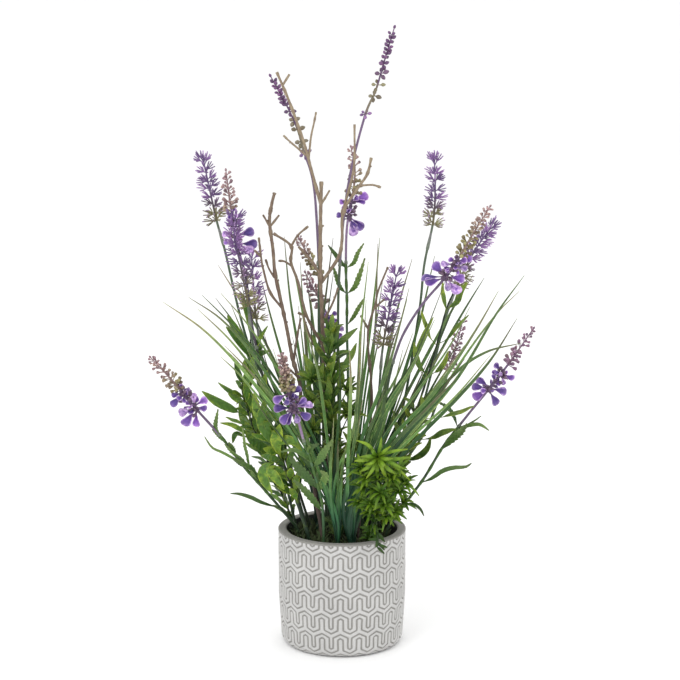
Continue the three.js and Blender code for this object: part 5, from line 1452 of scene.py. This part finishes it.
def fern(name):
    """A stem with whorls of narrow channelled fronds, side shoots, and a bright star that faces the front"""
    entry = FERNS[name]
    route, chance, skin = Route(entry["route"]), dice(name), Skin()
    width, loose, shades = entry["width"], entry["loose"], entry["shades"]
    spine = route.stretch(0.0, 1.0, 5.0)
    skin.tube(spine, np.linspace(1.7, 0.9, len(spine)), 9, 0.1, 0.1)

    def frond(base, tip, size, shade):
        facing = unit(UP * 0.8 + FRONT * 0.5 + jitter(chance, 0.4))
        leaf(skin, bent(base, tip, 0.1, chance.uniform(0.0, 0.2)), size, facing, shade, **FROND)

    # Fronds below this height are darkened: painted shade deep in the tuft
    shaded_below = 136
    for level, (height, count, reach) in enumerate(entry["whorls"]):
        place = route.at_height(height)
        for k in range(count):
            turn = (k + 0.5 * level + chance.uniform(-loose, loose)) * 2 * math.pi / count
            way = leaning(route.along(place), turn, entry["lean"] + chance.uniform(-loose, loose))
            base = route.at(place) + way
            shade = chance.uniform(*shades) * (0.4 if height < shaded_below else 1)
            tip = base + way * reach * chance.uniform(0.7, 1.1)
            frond(base, tip, width * chance.uniform(0.75, 1.15), shade)
    for height, middle in entry["shoots"]:
        base, middle = route.spot(height), np.array(middle, float)
        shoot = Route([base, (base + middle) / 2 + (0, -1.5, 2.0), middle])
        skin.tube(shoot.stretch(0, 1, 4.0), 0.6, 6, 0.1, 0.1)
        ahead = unit(0.8 * unit(middle - base) + 0.6 * FRONT + 0.5 * UP)
        count = 14
        for k in range(count):
            opening = 0.2 + entry["opening"] * math.sqrt((k + 0.5) / count)
            way = leaning(ahead, k * GOLDEN_ANGLE + chance.uniform(-0.3, 0.3), opening)
            tip, size = middle + way * chance.uniform(*entry["tuft"]), width * chance.uniform(0.75, 1.1)
            frond(middle, tip, size, chance.uniform(shades[0] + 0.1, shades[1] + 0.2))
    placed_leaves(skin, route, entry["leaves"], chance, (0.4, 1.0), FERN_LEAF)
    height, star = entry["star"]
    for across, rise, ahead in star:
        middle = route.spot(height)
        knee = middle + (0.5 * across, -ahead, 0.5 * rise + chance.uniform(-1, 3))
        tip = middle + (across, -0.4 * ahead, rise) + jitter(chance, 3)
        size, facing = width * chance.uniform(1.0, 1.35), unit(FRONT + 0.6 * UP + jitter(chance, 0.3))
        leaf(skin, [middle, knee, tip], size, facing, chance.uniform(0.6, 1.0), **FROND)
    if entry["drape"]:
        hanging = Route(entry["drape"])
        for k in range(9):
            base = hanging.at(0.2 + 0.8 * k / 8)
            way = (chance.uniform(-0.8, 0.8), chance.uniform(-0.6, 0.0), chance.uniform(-0.9, 0.2))
            midrib = bent(base, base + unit(np.array(way)) * 10, 0.05)
            leaf(skin, midrib, 2.0, unit(FRONT + UP * 0.5), 0.0, **FROND)
        skin.tube(hanging.stretch(0, 1, 3.0), 0.7, 7, 0.2, 0.0)
    skin.make(f"{name}_look", plastic(entry["plastic"]), [name], "fern_green")


def moss_mat():
    """A lumpy mat under a tangle of fibres and small sprigs"""
    chance, skin = dice("moss"), Skin()
    middle_x, radius, floor, top = -4.0, 49.5, 96.6, 106.5
    rings, sides, fibres, sprigs = 12, 56, 620, 520
    waves = []
    for _ in range(9):
        waves.append((chance.uniform(0, 6.3), chance.uniform(0.05, 0.22), chance.uniform(0.05, 0.22)))
    places, marks = [(middle_x, 0.0, top)], [0.3]
    for ring in range(1, rings + 1):
        share = ring / rings
        for angle in np.arange(sides) * (2 * math.pi / sides):
            reach = radius * share * (1 + 0.03 * math.sin(5 * angle) + 0.02 * math.sin(11 * angle))
            x, y = middle_x + reach * math.cos(angle), reach * math.sin(angle)
            rise = sum(math.sin(p + a * x + b * y) for p, a, b in waves) * 0.5
            places.append((x, y, floor + 1 + (top - floor - 1 + rise) * float(smoothstep((1 - share) * 5))))
            marks.append(0.3 + 0.2 * math.sin(3 * x) * math.cos(2.3 * y))
    places += [(x, y, floor) for x, y, _ in places[-sides:]] + [(middle_x, 0.0, floor)]
    marks += [0.0] * (sides + 1)
    faces, last = [], len(places) - 1
    for side in range(sides):
        ahead = (side + 1) % sides
        faces.append((0, 1 + side, 1 + ahead))
        for low in range(1, 1 + rings * sides, sides):
            faces.append((low + side, low + sides + side, low + sides + ahead, low + ahead))
        faces.append((last - sides + side, last, last - sides + ahead))
    skin.add(places, faces, marks, 0.2, 0.0)

    def spot(sink):
        angle, share = chance.uniform(0, 2 * math.pi), math.sqrt(chance.random())
        reach = share * (radius - 1)
        x, y = middle_x + reach * math.cos(angle), reach * math.sin(angle)
        return np.array((x, y, top - 1.3 - sink * share**4))

    for _ in range(fibres):
        base, way = spot(3.5), any_way(chance, 0.1, 0.8)
        reach, curl = chance.uniform(5, 13), unit(jitter(chance, 1))
        t = np.linspace(0, 1, 6)[:, None]
        spine = base + way * reach * t + (curl * 0.45 - UP * 0.35) * reach * t**2
        skin.tube(spine, np.linspace(0.5, 0.16, 6), 4, chance.uniform(0.3, 1.0), chance.random())
    for _ in range(sprigs):
        base, way = spot(3.0), any_way(chance, 0.5, 1.4)
        midrib, width = bent(base, base + way * chance.uniform(8, 17)), chance.uniform(1.6, 2.8)
        leaf(skin, midrib, width, UP, chance.uniform(0.3, 1), stations=6, stalk=0.0, tones=(0.3, 0.5))
    skin.make("moss_mat_look", plastic("moss_fibre"), ["moss_mat"], "moss")


# The pot's outline
POT_HEIGHT = 117.0
POT_RADIUS = 64.0
FOOT_RADIUS = 61.5
FOOT_ROUNDING = 9.0
SIDE_TURN_HEIGHT = 52.0
WALL = 8.5
POT_FLOOR = 10.0
CAVITY_FOOT_RADIUS = 53.0
RIM_ROUNDING = 1.6
PLAIN_BAND = 1.3

# Its pattern: rows of motifs, each with an inner and an outer groove that step up and down. Half a motif
# is measured from its middle line, and downwards from the top of its row.
MOTIFS = 21
PATTERN_TURN = -0.024
MOTIF_HALF = math.pi * POT_RADIUS / MOTIFS
ROW_PITCH = 20.8
FIRST_ROW = 8.8
ZIGZAG_RISE = 4.8
NARROW_HALF = 2.64
WIDE_HALF = 7.65
INNER_TOP = 4.4
OUTER_FOOT = 10.8
INNER_FOOT = 15.5
GROOVE_FLOOR_SHARE = 0.52


def outer_outline():
    """Points down the outside of the pot from under its rim to its flat underside"""
    points = [(POT_RADIUS, POT_HEIGHT - RIM_ROUNDING), (POT_RADIUS, SIDE_TURN_HEIGHT),
              (FOOT_RADIUS, FOOT_ROUNDING)]
    for i in range(1, 13):
        t = i / 12
        radius = (1 - t) ** 2 * FOOT_RADIUS + 2 * t * (1 - t) * FOOT_RADIUS
        radius += t**2 * (FOOT_RADIUS - FOOT_ROUNDING)
        points.append((radius, FOOT_ROUNDING * (1 - t) ** 2))
    return np.array(points)


def from_middle(x):
    """Distance round the pot from the middle of the nearest motif"""
    return np.abs((x + MOTIF_HALF) % (2 * MOTIF_HALF) - MOTIF_HALF)


def groove_distance(x, w):
    """How far a point of the pattern is from the nearest groove"""
    x = from_middle(x)
    best = np.full(np.shape(x), 99.0)
    for row in (-ROW_PITCH, 0.0, ROW_PITCH):
        for half, top, foot in ((WIDE_HALF, 0.0, OUTER_FOOT), (NARROW_HALF, INNER_TOP, INNER_FOOT)):
            top, foot = row + top, row + foot
            lines = ((0.0, top, half, top), (half, top, half, foot), (half, foot, MOTIF_HALF, foot))
            for x0, w0, x1, w1 in lines:
                best = np.minimum(best, np.hypot(x - np.clip(x, x0, x1), w - np.clip(w, w0, w1)))
    return best


def around_lines(lines, half_top, half_foot):
    """Where a grid has to be cut so that each line's groove gets clean walls"""
    offsets = (-half_top, -half_foot, half_foot, half_top)
    return [line + offset for line in lines for offset in offsets]


def pot_grid(half_top, half_foot):
    """The outside of the pot as rows of points, with the share of the groove's depth at each"""
    folded = [0.0, (NARROW_HALF + WIDE_HALF) / 2, MOTIF_HALF]
    folded += around_lines((NARROW_HALF, WIDE_HALF), half_top, half_foot)
    motif = sorted({round(v, 4) for f in folded for v in (f, -f) if v > -MOTIF_HALF + 1e-3})
    x = np.array([v + 2 * MOTIF_HALF * k for k in range(MOTIFS) for v in motif])
    marks = around_lines((0.0, INNER_TOP, OUTER_FOOT, INNER_FOOT), half_top, half_foot)
    marks += [(INNER_TOP + OUTER_FOOT) / 2, (OUTER_FOOT + INNER_FOOT) / 2, (INNER_FOOT + ROW_PITCH) / 2]
    w = np.array(sorted(FIRST_ROW + mark + ROW_PITCH * k for k in range(-1, 7) for mark in marks))
    outline = outer_outline()
    path = np.concatenate([[0.0], np.cumsum(np.linalg.norm(np.diff(outline, axis=0), axis=1))])
    top, foot = PLAIN_BAND - RIM_ROUNDING, path[-1] - 3.0
    fold = from_middle(x) / MOTIF_HALF
    down = np.clip(w[:, None] - RIM_ROUNDING + ZIGZAG_RISE * fold[None, :], top, foot)
    keep = (down.min(axis=1) < foot - 1e-6) & (down.max(axis=1) > top + 1e-6)
    first, last = np.flatnonzero(keep)[[0, -1]]
    down = down[max(first - 1, 0): last + 2]
    level = down + RIM_ROUNDING - ZIGZAG_RISE * fold[None, :]
    row = (level - FIRST_ROW) % ROW_PITCH
    away = groove_distance(np.broadcast_to(x[None, :], level.shape), row)
    share = smoothstep((half_top + 0.12 - away) / (half_top + 0.12 - half_foot))
    slope = np.gradient(outline, axis=0)
    lean = np.arctan2(-slope[:, 0], -slope[:, 1])
    radius, height, lean = (np.interp(down, path, values) for values in (outline[:, 0], outline[:, 1], lean))
    return x / POT_RADIUS + PATTERN_TURN, radius, height, lean, share


def pot():
    """A cement pot whose outside has a relief of interlocking bands"""
    settings = looks().pot_looks
    half_top = settings.groove_width / MM / 2
    half_foot = half_top * GROOVE_FLOOR_SHARE
    depth = settings.groove_depth / MM
    angle, radius, height, lean, share = pot_grid(half_top, half_foot)
    columns = len(angle)
    wobble = 0.1 * np.sin(angle[None, :] * 13 + height * 0.21)
    wobble = wobble + 0.07 * np.sin(angle[None, :] * 31 - height * 0.37)
    sunk = share * depth - 0.08 * np.sin(angle[None, :] * 7 + height * 0.13)
    turned = np.broadcast_to(angle[None, :], radius.shape) + wobble / POT_RADIUS
    radius = radius - sunk * np.cos(lean)
    height = height + sunk * np.sin(lean)
    inner, foot = POT_RADIUS - WALL, outer_outline()
    inside = [(CAVITY_FOOT_RADIUS * 0.5, POT_FLOOR), (CAVITY_FOOT_RADIUS, POT_FLOOR), (inner - 1.2, 60.0),
              (inner - 0.5, 95.0), (inner, POT_HEIGHT - RIM_ROUNDING)]
    quarter = [i / 4 * math.pi / 2 for i in range(5)]
    soft = [(RIM_ROUNDING * (1 - math.sin(turn)), RIM_ROUNDING * (1 - math.cos(turn))) for turn in quarter]
    rim = [(inner + near, POT_HEIGHT - far) for far, near in soft[1:]]
    rim.append((POT_RADIUS - WALL / 2, POT_HEIGHT))
    rim += [(POT_RADIUS - far, POT_HEIGHT - near) for far, near in soft]
    rim.append((POT_RADIUS, POT_HEIGHT - PLAIN_BAND + 0.25))
    under = [tuple(foot[-2]), (foot[-1][0], 0.0), (foot[-1][0] - 3, 0.0), (26.0, 0.0)]

    def plain(points, in_shade):
        rows = [(np.full(columns, r), np.full(columns, z)) for r, z in points]
        return [(*row, angle, np.zeros(columns), 1.0, in_shade) for row in rows]

    # The inside wall is marked 1.0 and gets the painted shade inside the pot; the rim, outside and underside
    # are marked 0.5
    rings = plain(inside, 1.0) + plain(rim, 0.5)
    rings += [(*ring, 0.0, 0.5) for ring in zip(radius, height, turned, share)]
    rings += plain(under, 0.5)
    places, tone, damp, edge = [(0.0, 0.0, POT_FLOOR)], [0.0], [1.0], [1.0]
    for r, z, around, tones, flat, in_shade in rings:
        places.extend(np.stack([r * np.sin(around), -r * np.cos(around), z], axis=-1))
        tone.extend(tones)
        damp.extend([in_shade] * columns)
        edge.extend([flat] * columns)
    places.append((0.0, 0.0, 0.0))
    tone.append(0.0)
    damp.append(0.5)
    edge.append(1.0)
    grid = 1 + np.arange(len(rings) * columns).reshape(len(rings), columns)
    ahead = np.roll(grid, -1, axis=1)
    last = len(places) - 1
    faces = quads(grid[:-1], grid[1:], ahead[1:], ahead[:-1])
    faces += [(0, int(a), int(b)) for a, b in zip(grid[0], ahead[0])]
    faces += [(last, int(b), int(a)) for a, b in zip(grid[-1], ahead[-1])]
    skin = Skin()
    skin.add(places, faces, tone, damp, edge)
    made = skin.make("pot_look", whitewashed_cement(), ["pot"], "cement", sharp_degrees=60)
    working = bmesh.new()
    working.from_mesh(made.data)
    bmesh.ops.remove_doubles(working, verts=working.verts, dist=0.01 * MM)
    bmesh.ops.recalc_face_normals(working, faces=working.faces)
    working.to_mesh(made.data)
    working.free()


class OBJECT_OT_lavender_pot(bpy.types.Operator):
    """Builds the pot with its relief, and gives the foam plug its finish"""

    bl_idname = "object.lavender_pot"
    bl_label = "Pot and foam"

    def execute(self, context):
        pot()
        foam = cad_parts["foam_plug"]
        foam.data.materials.clear()
        foam.data.materials.append(plug_foam())
        return {"FINISHED"}


class OBJECT_OT_lavender_moss(bpy.types.Operator):
    """Builds the moss on the foam"""

    bl_idname = "object.lavender_moss"
    bl_label = "Moss"

    def execute(self, context):
        moss_mat()
        return {"FINISHED"}


class OBJECT_OT_lavender_stems(bpy.types.Operator):
    """Builds the stems of all the flower picks"""

    bl_idname = "object.lavender_stems"
    bl_label = "Stems"

    def execute(self, context):
        for name in NEEDLE_PICKS:
            needle_stem(name)
        for name, pick in BUD_PICKS.items():
            shade = pick.get("stem_shade", STEM_SHADE)
            bud_stem(name, pick["head"], pick["route"], pick["purple"], shade)
        salvia_purple_height = 380
        for name, (head, points, _) in SALVIA_PICKS.items():
            bud_stem(name, head, points, salvia_purple_height)
        return {"FINISHED"}


class OBJECT_OT_lavender_needles(bpy.types.Operator):
    """Builds the spikes of fine needles"""

    bl_idname = "object.lavender_needles"
    bl_label = "Needle spikes"

    def execute(self, context):
        for name in NEEDLE_PICKS:
            needle_head(name)
        return {"FINISHED"}


class OBJECT_OT_lavender_buds(bpy.types.Operator):
    """Builds the spikes of beads and the salvia spikes"""

    bl_idname = "object.lavender_buds"
    bl_label = "Bead and salvia spikes"

    def execute(self, context):
        for name in BUD_PICKS:
            bead_head(name)
        for name in SALVIA_PICKS:
            salvia_head(name)
        return {"FINISHED"}


class OBJECT_OT_lavender_petals(bpy.types.Operator):
    """Builds the whorls of open petals"""

    bl_idname = "object.lavender_petals"
    bl_label = "Petals"

    def execute(self, context):
        for name, pick in BUD_PICKS.items():
            if "petals" in pick:
                petal_whorl(name)
        return {"FINISHED"}


class OBJECT_OT_lavender_leaves(bpy.types.Operator):
    """Builds the leaves on the stems, the leafy sprays and the ferns"""

    bl_idname = "object.lavender_leaves"
    bl_label = "Leaves and ferns"

    def execute(self, context):
        for name, pick in BUD_PICKS.items():
            if "leaves" in pick:
                leaf_sleeve(name)
        for name in SPRAYS:
            leaf_spray(name)
        for name in FERNS:
            fern(name)
        return {"FINISHED"}


class OBJECT_OT_lavender_grass(bpy.types.Operator):
    """Builds the tufts of grass"""

    bl_idname = "object.lavender_grass"
    bl_label = "Grass"

    def execute(self, context):
        for name in GRASS_TUFTS:
            grass_tuft(name)
        return {"FINISHED"}


class OBJECT_OT_lavender_twigs(bpy.types.Operator):
    """Builds the bare twigs"""

    bl_idname = "object.lavender_twigs"
    bl_label = "Twigs"

    def execute(self, context):
        for name in TWIGS:
            twig(name)
        return {"FINISHED"}


# The stage, in metres: where the camera stands, how far it looks down in radians, its lens and sensor in
# millimetres, the floor, and each light's place with its share of the key light's power
CAMERA_PLACE = (-0.002, -1.8, 0.655)
CAMERA_DIP = 0.1906
CAMERA_LENS = 98.5
CAMERA_SENSOR = 36.0
FLOOR_HALF_SIDE = 80.0
FLOOR_DROP = 0.0002
LIGHT_SIZE = 1.6
LIGHT_AIM = (0.0, 0.0, 0.3)
LIGHTS = {
    "key": ((-1.2, -1.8, 2.0), 1.0),
    "fill": ((1.8, -1.2, 1.2), 0.3),
    "back": ((0.4, 1.8, 1.9), 0.35),
}


def area_light(name, place, power):
    """A soft round light that shines at the arrangement"""
    data = bpy.data.lights.new(name, "AREA")
    data.shape = "DISK"
    data.size = LIGHT_SIZE
    data.energy = power
    made = bpy.data.objects.new(name, data)
    made.location = place
    x, y, z = np.array(LIGHT_AIM) - np.array(place)
    made.rotation_euler = (math.atan2(math.hypot(x, y), -z), 0.0, math.atan2(y, x) - math.pi / 2)
    bpy.context.scene.collection.objects.link(made)


class OBJECT_OT_lavender_stage(bpy.types.Operator):
    """Lays the pale floor and sets the soft light and the camera"""

    bl_idname = "object.lavender_stage"
    bl_label = "Stage"

    def execute(self, context):
        settings = looks().stage_looks
        mesh = bpy.data.meshes.new("floor")
        far = FLOOR_HALF_SIDE
        mesh.from_pydata([(-far, -far, 0), (far, -far, 0), (far, far, 0), (-far, far, 0)], [], [(0, 1, 2, 3)])
        mesh.materials.append(stage_floor())
        floor = bpy.data.objects.new("floor", mesh)
        floor.location = (0, 0, -FLOOR_DROP)
        context.scene.collection.objects.link(floor)
        world = bpy.data.worlds.new("soft_light")
        world.use_nodes = True
        background = world.node_tree.nodes["Background"].inputs
        background["Color"].default_value = (1.0, 1.0, 1.0, 1.0)
        background["Strength"].default_value = settings.sky
        context.scene.world = world
        for name, (place, share) in LIGHTS.items():
            area_light(name, place, settings.key * share)
        data = bpy.data.cameras.new("camera")
        data.sensor_width = CAMERA_SENSOR
        data.lens = CAMERA_LENS
        camera = bpy.data.objects.new("camera", data)
        camera.location = CAMERA_PLACE
        camera.rotation_euler = (math.pi / 2 - CAMERA_DIP, 0.0, 0.0)
        context.scene.collection.objects.link(camera)
        context.scene.camera = camera
        context.scene.view_settings.view_transform = "Standard"
        return {"FINISHED"}


class VIEW3D_PT_lavender(bpy.types.Panel):
    """Sizes, colours and the pieces to build"""

    bl_label = "Potted lavender"
    bl_idname = "VIEW3D_PT_lavender"
    bl_space_type = "VIEW_3D"
    bl_region_type = "UI"
    bl_category = "Lavender"

    def draw(self, context):
        for group, looks_class in LOOKS.items():
            box = self.layout.box()
            box.label(text=looks_class.__doc__)
            for name in looks_class.__annotations__:
                box.prop(getattr(context.scene, group), name)
        for operator in OPERATORS:
            self.layout.operator(operator.bl_idname)


LOOKS = {
    "pot_looks": PotLooks,
    "stem_looks": StemLooks,
    "flower_looks": FlowerLooks,
    "leaf_looks": LeafLooks,
    "twig_looks": TwigLooks,
    "stage_looks": StageLooks,
}
OPERATORS = (
    OBJECT_OT_lavender_stage,
    OBJECT_OT_lavender_pot,
    OBJECT_OT_lavender_moss,
    OBJECT_OT_lavender_stems,
    OBJECT_OT_lavender_needles,
    OBJECT_OT_lavender_buds,
    OBJECT_OT_lavender_petals,
    OBJECT_OT_lavender_leaves,
    OBJECT_OT_lavender_grass,
    OBJECT_OT_lavender_twigs,
)


def register():
    for shown in (*LOOKS.values(), *OPERATORS, VIEW3D_PT_lavender):
        bpy.utils.register_class(shown)
    for name, looks_class in LOOKS.items():
        setattr(bpy.types.Scene, name, bpy.props.PointerProperty(type=looks_class))


def unregister():
    for name in LOOKS:
        delattr(bpy.types.Scene, name)
    for shown in reversed((*LOOKS.values(), *OPERATORS, VIEW3D_PT_lavender)):
        bpy.utils.unregister_class(shown)


def main():
    register()
    for operator in OPERATORS:
        group, name = operator.bl_idname.split(".")
        getattr(getattr(bpy.ops, group), name)()


if __name__ == "__main__":
    main()
